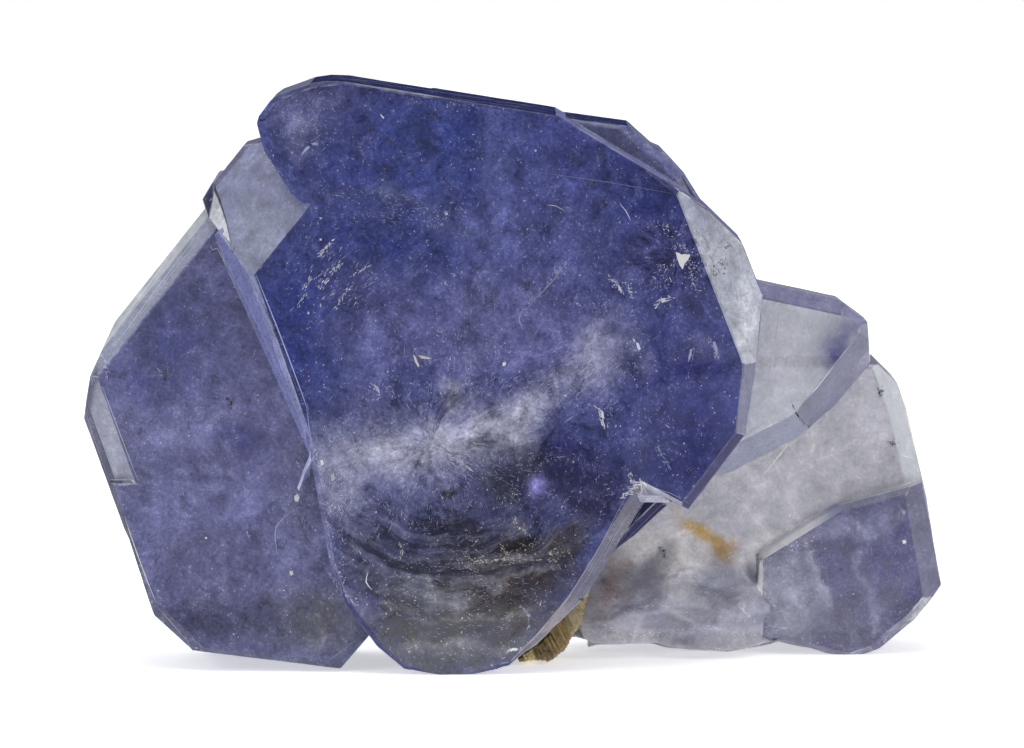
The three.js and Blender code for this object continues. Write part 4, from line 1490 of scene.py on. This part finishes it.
FLECKS: tuple[Flecks, ...] = (
    # All over the two large crystals
    Flecks(MAIN, ((480, 360),), (240, 240), 2400, (0.5, 1.2), (0.1, 0.4), PALE_BLUE),
    Flecks(MAIN, ((480, 380),), (230, 240), 1800, (0.6, 1.6), (0.15, 0.5), DARK_GRAIN_AND_PIT_SHADE),
    Flecks(LEFT, ((210, 450),), (110, 200), 1000, (0.5, 1.2), (0.1, 0.4), PALE_BLUE),
    Flecks(LEFT, ((210, 450),), (110, 200), 700, (0.6, 1.5), (0.15, 0.5), DARK_GRAIN_AND_PIT_SHADE),
    # Clusters of the upper half
    Flecks(MAIN, ((296, 120),), (30, 28), 160, (0.6, 1.5)),
    Flecks(("notch bevel", "main", "notch side"), ((264, 160),), (9, 6), 46, (0.8, 2.2), (0.5, 0.9)),
    Flecks(MAIN, ((312, 190), (380, 198), (420, 210), (450, 226), (480, 238)), (10, 8), 240, (0.5, 1.4)),
    Flecks(MAIN, ((440, 218),), (20, 12), 90, (0.6, 1.7), (0.4, 0.8)),
    Flecks(MAIN, ((623, 290),), (14, 12), 60, (0.8, 2.2), (0.5, 0.9)),
    Flecks(MAIN, ((664, 302),), (10, 8), 30, (0.8, 2.4), (0.5, 0.9)),
    Flecks(MAIN, ((684, 258),), (16, 34), 120, (0.6, 2.0), (0.4, 0.9)),
    Flecks(MAIN, ((634, 360),), (14, 24), 60, (0.6, 2.2), (0.4, 0.8), PALE_BLUE),
    Flecks(MAIN, ((560, 330),), (90, 70), 420, (0.5, 1.4), (0.2, 0.6), PALE_BLUE),
    Flecks(MAIN, ((500, 200),), (130, 70), 260, (0.5, 1.3), (0.2, 0.6), PALE_BLUE),
    # Seam, streaks and foot of the lower lobe
    Flecks(MAIN + LEFT, ((316, 444), (320, 500), (334, 560), (360, 606)), (9, 9), 200, (0.6, 2.0),
           (0.4, 0.9)),
    Flecks(MAIN, ((460, 566), (500, 560), (568, 556)), (12, 9), 240, (0.6, 1.9), (0.2, 0.5), BONE),
    Flecks(MAIN, ((410, 650), (470, 654), (530, 640)), (10, 8), 240, (0.6, 1.7), (0.2, 0.6)),
    Flecks(MAIN, ((450, 600),), (90, 50), 480, (0.5, 1.4), (0.15, 0.45)),
    Flecks(MAIN, ((500, 500),), (80, 60), 320, (0.8, 2.4), (0.3, 0.7), DARK_GRAIN_AND_PIT_SHADE),
    # Walls, strips and bevels
    Flecks(("left wall",), ((216, 240), (256, 310), (306, 420)), (10, 10), 120, (0.5, 1.6), (0.3, 0.7)),
    Flecks(("shoulder", "main"), ((634, 484), (640, 492)), (7, 7), 40, (0.8, 2.4), (0.5, 0.9)),
    Flecks(("lobe strip",), ((622, 504), (590, 562), (530, 656)), (8, 8), 160, (0.5, 1.6), (0.2, 0.6)),
    Flecks(("upper", "upper rim", "upper side"), ((620, 140), (680, 186)), (14, 12), 160, (0.5, 1.6)),
    Flecks(("right bevel",), ((690, 210), (740, 330)), (16, 16), 160, (0.5, 1.5), (0.2, 0.7)),
    Flecks(("right bevel",), ((690, 210), (740, 330)), (16, 16), 130, (0.5, 1.4), (0.2, 0.6), ASH),
    Flecks(("notch bevel",), ((244, 190), (256, 240)), (18, 30), 180, (0.5, 1.4), (0.15, 0.5)),
    Flecks(("notch bevel",), ((244, 190), (256, 240)), (18, 30), 160, (0.5, 1.4), (0.15, 0.5), VIOLET),
    Flecks(("grain chip",), ((214, 200), (224, 232)), (8, 8), 120, (0.6, 1.6), (0.3, 0.8), ASH),
    # Broken mass
    Flecks(RIGHT, ((700, 580),), (110, 70), 520, (0.6, 2.2), (0.2, 0.7)),
    Flecks(RIGHT, ((690, 590),), (110, 60), 320, (0.6, 1.8), (0.15, 0.5), ASH),
    Flecks(RIGHT, ((732, 556), (770, 548), (806, 544)), (16, 9), 200, (0.8, 2.6), (0.4, 0.9)),
    Flecks(("broken",), ((604, 570), (614, 606)), (14, 16), 160, (1.0, 3.0), (0.2, 0.5), BROWN),
    # Blue crystal
    Flecks(("blue",), ((850, 570),), (70, 60), 300, (0.5, 1.6), (0.2, 0.6)),
    Flecks(("blue", "blue rim", "blue bevel"), ((872, 650), (900, 634), (944, 594)), (6, 6), 120, (0.8, 2.2),
           (0.4, 0.9), BONE),
    # Iron stain and left edge
    Flecks(("broken",), ((682, 526), (706, 540), (724, 560)), (6, 5), 120, (0.6, 2.0), (0.4, 0.9),
           tint(176, 134, 54)),
    Flecks(("left upper bevel", "left outer bevel"), ((100, 350), (205, 212)), (8, 8), 120, (0.5, 1.5)),
)

# Knots of dark grains and painted pit shade, each round one picture pixel
DARK_KNOTS: tuple[Pixel, ...] = (
    (436, 115), (418, 144), (411, 173), (385, 171), (389, 141), (372, 128),
    (600, 154), (592, 184), (575, 160), (603, 204), (640, 176),
    (165, 376), (139, 431), (206, 315), (230, 402),
    (722, 262), (716, 270), (232, 251), (728, 246),
    (527, 286), (448, 492), (490, 300),
    (662, 552), (880, 392), (894, 444), (690, 470),
)


@dataclass(frozen=True)
class Flake:
    """One larger flake or glint with its own outline, in picture pixels."""

    name: str
    outline: tuple[Pixel, ...]
    tint: Tint = WHITE
    strength: float = 0.9


FLAKES: tuple[Flake, ...] = (
    Flake("glint",
          ((673, 248), (682, 252), (693, 253), (691, 260), (686, 265), (683, 275), (678, 268), (674, 257)),
          WHITE, 1.0),
    Flake("hazy flake", ((711, 339), (715, 338), (719, 349), (718, 359), (714, 352)), PALE_BLUE, 0.6),
    Flake("hazy flake's neighbour", ((690, 348), (694, 345), (692, 356), (688, 364), (688, 356)), PALE_BLUE,
          0.6),
    Flake("square glint", ((534, 149), (537, 149), (537, 152), (534, 152)), PALE_BLUE),
    Flake("blade", ((299, 158), (304, 148), (309, 143), (312, 146), (306, 152)), PALE_BLUE, 0.7),
    Flake("blade's wing", ((308, 143), (314, 141), (320, 143), (319, 146), (312, 146)), PALE_BLUE, 0.6),
    Flake("fleck", ((380, 113), (385, 118), (383, 119))),
    Flake("iridescent flake", ((635, 340), (639, 341), (643, 351), (639, 353), (636, 347)),
          tint(214, 230, 255), 0.95),
    Flake("pale flake", ((632, 337), (635, 339), (636, 343), (633, 342)), BONE, 0.8),
    Flake("bent flake", ((411, 350), (415, 354), (422, 369), (419, 370), (414, 362)), BONE, 0.85),
    Flake("bent flake's wing", ((414, 354), (422, 355), (437, 359), (430, 360), (420, 359)), BONE, 0.75),
    Flake("small flake", ((373, 384), (378, 386), (381, 393), (376, 390)), MILK, 0.8),
    Flake("fleck by the star", ((502, 362), (507, 361), (506, 366), (502, 367))),
    Flake("flake low right", ((600, 408), (604, 411), (605, 420), (601, 419)), WHITE, 0.8),
    Flake("soft flake", ((660, 298), (666, 297), (667, 302), (661, 304)), WHITE, 0.8),
    Flake("foot flake", ((507, 650), (512, 647), (520, 648), (518, 651), (510, 652))),
    Flake("yellow blob", ((289, 570), (293, 570), (295, 575), (291, 577), (288, 574)), BONE, 0.8),
    Flake("pale blob", ((292, 494), (298, 491), (302, 497), (299, 505), (294, 503)), WHITE, 0.85),
    Flake("seam blade", ((311, 452), (315, 455), (307, 476), (299, 491), (297, 488), (303, 470)), PALE_BLUE,
          0.85),
    Flake("seam spark", ((319, 460), (323, 457), (325, 464), (320, 469)), WHITE, 0.8),
    Flake("seam spark low", ((330, 474), (334, 472), (336, 480), (331, 483)), MILK, 0.7),
    Flake("yellow fleck", ((205, 536), (208, 537), (207, 540), (204, 539)), BONE),
    Flake("olive speck", ((229, 250), (232, 248), (235, 250), (234, 253), (230, 253)), OLIVE),
    Flake("white spot", ((901, 540), (906, 539), (908, 543), (903, 545))),
    Flake("pale chip", ((900, 511), (904, 508), (907, 512), (904, 517)), MILK, 0.5),
    Flake("bone speck", ((444, 213), (448, 212), (449, 215), (445, 216)), BONE, 0.8),
    Flake("first dot", ((319, 238), (322, 238), (322, 241), (319, 241)), WHITE, 0.8),
    Flake("second dot", ((319, 217), (322, 217), (322, 219), (320, 220)), WHITE, 0.8),
    Flake("third dot", ((307, 311), (309, 311), (310, 315), (307, 315)), BONE, 0.8),
)


@dataclass
class Inclusions:
    """Feathers, fibres and grains that reach the crystals' skin, as small closed solids; some of them are
    painted glints, edge highlights and pit shade.

    They are sunk into the skin and stand proud of it by parts of a mm, so that they show and never flicker.
    """

    skin: CrystalMesh
    sunk: float = 0.005
    proud: float = 0.010
    tip: float = 0.12
    clump_size: float = 1.5
    clump_level: float = 0.08
    seed: int = 41
    corners: list[tuple[float, float, float]] = field(default_factory=list)
    faces: list[tuple[int, ...]] = field(default_factory=list)
    tints: list[Tint] = field(default_factory=list)

    def prepare(self) -> None:
        """Readies the skin for rays, with the mean tint and the region of each face."""
        mesh = self.skin.object.data
        tints = numbers(mesh.attributes["tint"].data, "color", 4, np.float32)
        self.paint = tints.reshape(len(mesh.polygons), 3, 4)[:, :, :3].mean(axis=1)
        self.region = numbers(mesh.attributes["region"].data, "value")
        self.tree = skin_tree(mesh)
        self.random = np.random.default_rng(self.seed)

    def spot(self, pixel: Pixel, on: tuple[str, ...] = ()) -> tuple[Vector, Vector, int] | None:
        """Finds the skin under a pixel.

        Args:
            pixel: picture place.
            on: regions that count, or none for all.

        Returns:
            Place in mm, normal and face, or nothing.
        """
        place, normal, face, _ = self.tree.ray_cast(SIGHT.eye() * MM, SIGHT.ray(pixel))
        if place is None or on and NAMES[self.region[face]] not in on:
            return None
        return place / MM, normal, face

    def shade(self, face: int, colour: Tint, strength: float) -> Tint:
        """Mixes the skin's own tint with a colour."""
        own = self.paint[face]
        return tuple(own + (np.array(colour) - own) * strength)

    def ribbon(self, spots: list[tuple[Vector, Vector, int]], feather: Feather) -> None:
        """Adds a closed sliver with a low ridge along a row of places.

        Args:
            spots: place, normal and face of each station.
            feather: what it shows.
        """
        base = len(self.corners)
        last = len(spots) - 1
        width = feather.width * SIGHT.pixel
        for number, (place, normal, _) in enumerate(spots):
            ahead = spots[min(number + 1, last)][0] - spots[max(number - 1, 0)][0]
            aside = normal.cross(ahead).normalized()
            part = number / last
            half = width / 2 * max(self.tip, math.sin(math.pi * (0.08 + 0.84 * part)))
            for edge in (-half, half):
                self.corners.append(tuple((place + aside * edge - normal * self.sunk) * MM))
            self.corners.append(tuple((place + normal * self.proud) * MM))
        for number in range(last):
            left, right, top = (base + number * 3 + k for k in range(3))
            tone = self.shade(spots[number][2], feather.tint, feather.strength)
            for near, far in ((left, top), (top, right), (right, left)):
                self.faces.append((near, near + 3, far + 3, far))
            self.tints.extend([tone] * 3)
        end = base + last * 3
        self.faces.extend([(base, base + 2, base + 1), (end, end + 1, end + 2)])
        self.tints.extend([self.shade(spots[0][2], feather.tint, feather.strength)] * 2)

    def cone(self, rim: Sequence[Vector], normal: Vector, tone: Tint) -> None:
        """Adds a flat pyramid.

        Args:
            rim: its corners on the skin, counter-clockwise from outside, in mm.
            normal: the way out.
            tone: its colour.
        """
        base = len(self.corners)
        middle = sum(rim, Vector()) / len(rim)
        for corner in rim:
            self.corners.append(tuple((corner - normal * self.sunk) * MM))
        self.corners.append(tuple((middle + normal * self.proud) * MM))
        sides = [(base + k, base + (k + 1) % len(rim), base + len(rim)) for k in range(len(rim))]
        self.faces.extend([*sides, tuple(range(base + len(rim) - 1, base - 1, -1))])
        self.tints.extend([tone] * (len(rim) + 1))

    def grain(self, spot: tuple[Vector, Vector, int], size: float, tone: Tint) -> None:
        """Adds a small pyramid with an uneven base of three or four sides."""
        place, normal, _ = spot
        first = normal.orthogonal().normalized()
        second = normal.cross(first)
        sides = int(self.random.integers(3, 5))
        start = self.random.uniform(0, 2 * math.pi)
        rim = []
        for side in range(sides):
            angle = start + 2 * math.pi * side / sides
            reach = size / 2 * self.random.uniform(0.6, 1.4)
            rim.append(place + (first * math.cos(angle) + second * math.sin(angle)) * reach)
        self.cone(rim, normal, tone)

    def sliver(
        self, spot: tuple[Vector, Vector, int], angle: float, size: tuple[float, float], tone: Tint
    ) -> None:
        """Adds a small uneven kite.

        Args:
            spot: place, normal and face.
            angle: its direction in the picture, from the right, counter-clockwise.
            size: its length and its width in mm.
            tone: its colour.
        """
        place, normal, _ = spot
        length, width = size
        ahead = Vector((math.cos(angle), 0.0, math.sin(angle)))
        along = (ahead - normal * ahead.dot(normal)).normalized() * length
        aside = normal.cross(along).normalized() * width
        lean = self.random.uniform(-0.3, 0.3, 2)
        rim = (
            place - along / 2,
            place - aside / 2 + along * lean[0],
            place + along / 2 + aside * lean[1],
            place + aside / 2 + along * lean[1],
        )
        self.cone(rim, normal, tone)

    def line(self, path: Sequence[Pixel], step: float) -> np.ndarray:
        """Points of a smooth curve through some places.

        Args:
            path: picture places that the curve passes.
            step: distance between its points, in pixels.

        Returns:
            Picture places, one row each.
        """
        points = [np.array(point, dtype=float) for point in path]
        points = [2 * points[0] - points[1], *points, 2 * points[-1] - points[-2]]
        rows = []
        for index in range(1, len(points) - 2):
            before, start, end, after = points[index - 1:index + 3]
            pieces = max(2, round(float(np.linalg.norm(end - start)) / step))
            for piece in range(pieces + (index == len(points) - 3)):
                t = piece / pieces
                first = 2 * start + (end - before) * t
                second = (2 * before - 5 * start + 4 * end - after) * t ** 2
                rows.append((first + second + (3 * start - before - 3 * end + after) * t ** 3) / 2)
        return np.array(rows)

    def smooth(self, feather: Feather, step: float = 5.0, jump: float = 1.5) -> None:
        """Adds a feather as one ribbon, as far as the skin goes on without a jump in depth, in mm."""
        runs = [[]]
        for point in self.line(feather.path, step):
            spot = self.spot(tuple(point))
            if spot is None or runs[-1] and (spot[0] - runs[-1][-1][0]).length > jump:
                runs.append([])
            if spot is not None:
                runs[-1].append(spot)
        spots = max(runs, key=len)
        if len(spots) > 1:
            self.ribbon(spots, feather)

    def crumbly(self, feather: Feather) -> None:
        """Adds a feather as a row of slivers and grains."""
        points = self.line(feather.path, 1.0)
        ahead = np.gradient(points, axis=0)
        for _ in range(round(len(points) * feather.crumbs)):
            index = int(self.random.integers(len(points)))
            place = points[index] + self.random.normal(size=2) * feather.width * 0.45
            angle = math.atan2(-ahead[index, 1], ahead[index, 0]) + self.random.normal() * 0.35
            length = feather.width * self.random.uniform(0.8, 3.2) * SIGHT.pixel
            width = feather.width * self.random.uniform(0.25, 0.7) * SIGHT.pixel
            strength = feather.strength * self.random.uniform(0.45, 1.1)
            spot = self.spot(tuple(place))
            if spot is not None:
                tone = self.shade(spot[2], feather.tint, min(strength, 1.0))
                self.sliver(spot, angle, (length, width), tone)

    def feathers(self) -> None:
        """Adds every feather of the lists."""
        for feather in FEATHERS:
            if feather.crumbs:
                self.crumbly(feather)
            else:
                self.smooth(feather)

    def clumps(self, places: np.ndarray) -> np.ndarray:
        """Keeps the places that fall into clumps.

        Args:
            places: picture places, one row each.

        Returns:
            Some of the rows.
        """
        points = np.concatenate([places * SIGHT.pixel, np.zeros((len(places), 1))], axis=1)
        level = Noise(9).layered(points, self.clump_size, 3, 0.7) + self.random.normal(size=len(places)) * 0.3
        return places[level > self.clump_level]

    def fibres(self) -> None:
        """Adds the fields of fibres."""
        for group in FIBRES:
            middle = np.array(group.at)
            spread = self.random.normal(size=(group.count, 2)) * 0.6 * np.array(group.size)
            for place in self.clumps(middle + spread):
                away = place - middle
                angle = math.radians(group.angle)
                if group.lie is not Lie.STRAIGHT:
                    angle = math.atan2(-away[1], away[0]) + (math.pi / 2 if group.lie is Lie.ROUND else 0)
                angle += math.radians(self.random.uniform(-1, 1) * group.spread)
                short, long = group.length
                length = (short + (long - short) * self.random.uniform() ** 3) * SIGHT.pixel
                width = self.random.uniform(*group.width) * SIGHT.pixel
                strength = self.random.uniform(*group.strength)
                spot = self.spot(tuple(place), group.on)
                if spot is not None:
                    self.sliver(spot, angle, (length, width), self.shade(spot[2], group.tint, strength))

    def flecks(self) -> None:
        """Adds the scattered grains."""
        knots = [Flecks((), (knot,), (4, 4), 16, (1.3, 3.0), (0.6, 1.0), DARK_GRAIN_AND_PIT_SHADE) for knot in DARK_KNOTS]
        for group in (*FLECKS, *knots):
            stops = np.array(group.path, dtype=float)
            legs = self.random.uniform(0, len(stops) - 1, size=group.count)
            numbered = range(len(stops))
            middles = np.stack([np.interp(legs, numbered, stops[:, part]) for part in range(2)], axis=1)
            places = middles + self.random.normal(size=(group.count, 2)) * 0.6 * np.array(group.size)
            for place in places if group in knots else self.clumps(places):
                spot = self.spot(tuple(place), group.on)
                size = self.random.uniform(*group.grain) ** 1.5 * SIGHT.pixel
                strength = self.random.uniform(*group.strength)
                if spot is not None:
                    self.grain(spot, size, self.shade(spot[2], group.tint, strength))

    def flakes(self) -> None:
        """Adds the flakes that have outlines of their own."""
        for flake in FLAKES:
            spots = [self.spot(pixel) for pixel in flake.outline]
            if None in spots:
                LOG.warning("no skin under %s", flake.name)
                continue
            rim = [spot[0] for spot in spots]
            normal = sum((spot[1] for spot in spots), Vector()).normalized()
            turn = sum((a.cross(b) for a, b in zip(rim, rim[1:] + rim[:1])), Vector())
            if turn.dot(normal) < 0:
                rim.reverse()
            self.cone(rim, normal, self.shade(spots[0][2], flake.tint, flake.strength))

    def build(self) -> bpy.types.Object:
        """Makes the inclusions' mesh and dresses it.

        Returns:
            The finished piece.
        """
        self.prepare()
        self.flecks()
        self.fibres()
        self.feathers()
        self.flakes()
        mesh = bpy.data.meshes.new("inclusions")
        mesh.from_pydata(self.corners, [], self.faces)
        piece = bpy.data.objects.new("inclusions", mesh)
        bpy.context.scene.collection.objects.link(piece)
        paint_faces(mesh, self.tints)
        mesh.materials.append(InclusionFinish().make())
        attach(piece, "root")
        return piece


@dataclass
class MicaBook:
    """A book of mica on edge, caught between the lower lobe and the broken mass.

    Places along the book run across its sheets, in mm. Its edges are heights within a sheet, and its front
    and back are depths along Y. The tones run from dark to light. Sheets past the pale start turn pale.
    """

    sheets: int = 48
    stack: int = 4
    lean: float = math.radians(27)
    thickness: float = 0.15
    places: tuple[float, ...] = (0.35, 2.0, 3.5, 3.9, 4.15, 5.2, 6.5, 6.8)
    low: tuple[float, ...] = (0.05, -0.86, -0.62, -0.25, -0.2, 0.37, 2.0, 2.6)
    high: tuple[float, ...] = (0.3, 0.85, 1.35, 1.5, 1.62, 2.1, 2.75, 2.85)
    front: tuple[float, ...] = (-4.5, -4.6, -4.5, -4.4, -3.5, -3.3, -3.0, -2.8)
    back: tuple[float, ...] = (-2.8, -1.0, -0.9, -0.9, -1.0, -1.0, -1.0, -1.0)
    corners: int = 20
    seed: int = 23
    tones: tuple[Tint, ...] = (
        tint(94, 74, 32), tint(134, 110, 56), tint(164, 138, 78), tint(220, 200, 140)
    )
    pale: Tint = tint(176, 162, 128)
    pale_start: float = 3.9
    ragged: float = 0.025

    def sheet(self, place: float, uneven: np.ndarray, random: np.random.Generator) -> bpy.types.Object:
        """Adds one sheet as a flat face with an uneven outline.

        Args:
            place: its place across the book.
            uneven: how far its low, high and front edges stand off, from about -1 to 1.
            random: source of its outline's unevenness.

        Returns:
            The sheet.
        """
        bpy.ops.mesh.primitive_circle_add(vertices=self.corners, radius=1, fill_type="NGON")
        sheet = bpy.context.object
        edges = (self.low, self.high, self.front, self.back)
        low, high, front, back = (float(np.interp(place, self.places, row)) for row in edges)
        low += uneven[0] * 0.09
        high += uneven[1] * 0.10
        front += uneven[2] * 0.16 + 0.06
        cos, sin = math.cos(self.lean), math.sin(self.lean)
        for vertex in sheet.data.vertices:
            x, y = vertex.co.x, vertex.co.y
            fuller = 1 / max(abs(x), abs(y)) ** 0.7
            across = np.clip(x * fuller + random.normal() * self.ragged, -1, 1)
            up = np.clip(y * fuller + random.normal() * self.ragged, -1, 1)
            depth = (front + back) / 2 + across * (back - front) / 2
            height = (low + high) / 2 + up * (high - low) / 2
            along = place + uneven[3] * 0.03 * (across + 1) ** 2 / 4
            spot = Vector((along * cos - height * sin, depth, max(along * sin + height * cos, 0.0)))
            vertex.co = spot * MM
        return sheet

    def colour(self, place: float, level: float) -> Tint:
        """Colour of the sheet at a place, for a level from 0, dark, to 1, light."""
        steps = np.linspace(0, 1, len(self.tones))
        own = np.array([np.interp(level, steps, [tone[part] for tone in self.tones]) for part in range(3)])
        pale = np.clip((place - self.pale_start) / 0.6, 0, 1) * 0.7
        return tuple(own + (np.array(self.pale) - own) * pale)

    def build(self) -> bpy.types.Object:
        """Makes the book from stacks of sheets, and dresses it.

        Returns:
            The finished piece.
        """
        random = np.random.default_rng(self.seed)
        places = np.linspace(self.places[0], self.places[-1], self.sheets)
        sheets = []
        for number, place in enumerate(places):
            if number % self.stack == 0:
                uneven = random.uniform(-1, 1, 4)
                level = random.uniform()
            own = uneven + random.normal(size=4) * 0.25
            sheets.append(self.sheet(place + random.normal() * 0.012, own, random))
            tone = self.colour(place, np.clip(level + random.normal() * 0.16, 0, 1))
            paint_faces(sheets[-1].data, [tone])
        book = sheets[0]
        bpy.ops.object.select_all(action="DESELECT")
        for sheet in sheets:
            sheet.select_set(True)
        bpy.context.view_layer.objects.active = book
        bpy.ops.object.join()
        book.name = "mica"
        thick = book.modifiers.new("thickness", "SOLIDIFY")
        thick.thickness = self.thickness * MM
        thick.offset = 0.0
        bpy.ops.object.modifier_apply(modifier=thick.name)
        for vertex in book.data.vertices:
            vertex.co.z = max(vertex.co.z, 0.0)
        book.data.materials.append(MicaFinish().make())
        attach(book, "root")
        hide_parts("mica_book")
        return book


def numbers(rows: Any, name: str, width: int = 1, kind: type = np.int32) -> np.ndarray:
    """Reads one property of all rows of a mesh's table.

    Args:
        rows: the table, such as a mesh's vertices.
        name: the property.
        width: how many numbers it has in each row.
        kind: type of the numbers.

    Returns:
        The numbers, in rows where each has more than one.
    """
    flat = np.empty(len(rows) * width, dtype=kind)
    rows.foreach_get(name, flat)
    return flat.reshape(-1, width) if width > 1 else flat


def skin_tree(mesh: bpy.types.Mesh) -> BVHTree:
    """Readies a mesh for rays."""
    places = [vertex.co for vertex in mesh.vertices]
    return BVHTree.FromPolygons(places, [tuple(face.vertices) for face in mesh.polygons])


def paint_faces(mesh: bpy.types.Mesh, tones: Sequence[Tint]) -> None:
    """Stores one tint for each face of a mesh, at its corners."""
    totals = [polygon.loop_total for polygon in mesh.polygons]
    colours = np.repeat(np.array(tones), totals, axis=0)
    layer = mesh.attributes.new("tint", "FLOAT_COLOR", "CORNER")
    full = np.concatenate([colours, np.ones((len(colours), 1))], axis=1)
    layer.data.foreach_set("color", full.astype(np.float32).ravel())


def select_only(piece: bpy.types.Object) -> None:
    """Deselects everything, and selects one piece and makes it active."""
    bpy.ops.object.select_all(action="DESELECT")
    piece.select_set(True)
    bpy.context.view_layer.objects.active = piece


def edit_mesh(piece: bpy.types.Object, kind: str) -> None:
    """Opens one piece alone in edit mode, for its vertices, edges or faces."""
    select_only(piece)
    bpy.ops.object.mode_set(mode="EDIT")
    bpy.ops.mesh.select_mode(type=kind)


# Studio

@dataclass
class Studio:
    """White room, pale floor and soft lights."""

    floor_front: float = -42.0
    floor_back: float = 900.0
    floor_half: float = 900.0

    def floor(self) -> bpy.types.Object:
        """Adds the pale floor.

        Returns:
            The floor.
        """
        middle = (self.floor_front + self.floor_back) / 2
        bpy.ops.object.select_all(action="DESELECT")
        bpy.ops.mesh.primitive_plane_add(size=2, location=(0, middle * MM, 0))
        floor = bpy.context.object
        floor.name = "floor"
        floor.scale = (self.floor_half * MM, (self.floor_back - self.floor_front) / 2 * MM, 1)
        bpy.ops.object.transform_apply(location=True, rotation=True, scale=True)
        material, board = new_material("pale floor")
        inputs = {
            "Base Color": (0.9, 0.9, 0.9),
            "Roughness": 0.7,
            "Emission Color": (1.0, 1.0, 1.0),
            "Emission Strength": 0.5,
        }
        board.end(Surface=board.shader(inputs))
        floor.data.materials.append(material)
        return floor

    def world(self) -> None:
        """Lights the room: white to the eye, and dimmer towards the front so that faces stay deep."""
        world = bpy.data.worlds.new("white room")
        bpy.context.scene.world = world
        world.use_nodes = True
        board = Board(world.node_tree)
        direction = board.node("ShaderNodeTexCoord", {}, {}).outputs["Generated"]
        parts = board.node("ShaderNodeSeparateXYZ", {}, [direction])
        side = Value(board, parts.outputs["Y"])
        height = Value(board, parts.outputs["Z"])
        band = side.ramp(0.2, 0.6) * height.ramp(-0.03, 0.01) * (1 - height.ramp(0.25, 0.55))
        strength = side.ramp(-0.97, -0.2, 0.08, 0.85) * (1 - band * 0.85)
        room = board.node("ShaderNodeBackground", {}, {"Color": (1.0, 1.0, 1.0), "Strength": strength})
        plain = board.node("ShaderNodeBackground", {}, {"Color": (1.0, 1.0, 1.0), "Strength": 1.0})
        seen = board.node("ShaderNodeLightPath", {}, {}).outputs["Is Camera Ray"]
        both = board.node("ShaderNodeMixShader", {}, [seen, room.outputs[0], plain.outputs[0]])
        board.node("ShaderNodeOutputWorld", {}, {"Surface": both.outputs[0]})

    def lamp(self, name: str, place: tuple[float, float, float], size: float, power: float) -> None:
        """Adds a soft light that points at the cluster.

        Args:
            name: name of the light.
            place: its place in mm.
            size: side of its square, in mm.
            power: its power in watts.
        """
        aim = Vector((0.0, 0.0, 20.0)) - Vector(place)
        turn = aim.to_track_quat("-Z", "Y").to_euler()
        bpy.ops.object.light_add(type="AREA", location=Vector(place) * MM, rotation=turn)
        light = bpy.context.object
        light.name = name
        light.data.size = size * MM
        light.data.energy = power

    def build(self) -> None:
        """Sets up the floor, the room and the lights."""
        scene = bpy.context.scene
        scene.view_settings.view_transform = "Standard"
        self.floor()
        self.world()
        self.lamp("left light", (-420, -260, 260), 260, 0.6)
        self.lamp("right light", (420, -200, 220), 260, 0.6)
        self.lamp("top light", (0, -60, 480), 320, 0.9)


def main() -> None:
    """Builds the cluster and its studio."""
    logging.basicConfig(level=logging.INFO, format="%(name)s: %(message)s")
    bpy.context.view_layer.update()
    SIGHT.camera()
    Studio().build()
    crystals = CrystalMesh()
    LOG.info("crystals: %d faces", len(crystals.build().data.polygons))
    inclusions = Inclusions(crystals)
    LOG.info("inclusions: %d faces", len(inclusions.build().data.polygons))
    LOG.info("mica: %d faces", len(MicaBook().build().data.polygons))


if __name__ == "__main__":
    main()
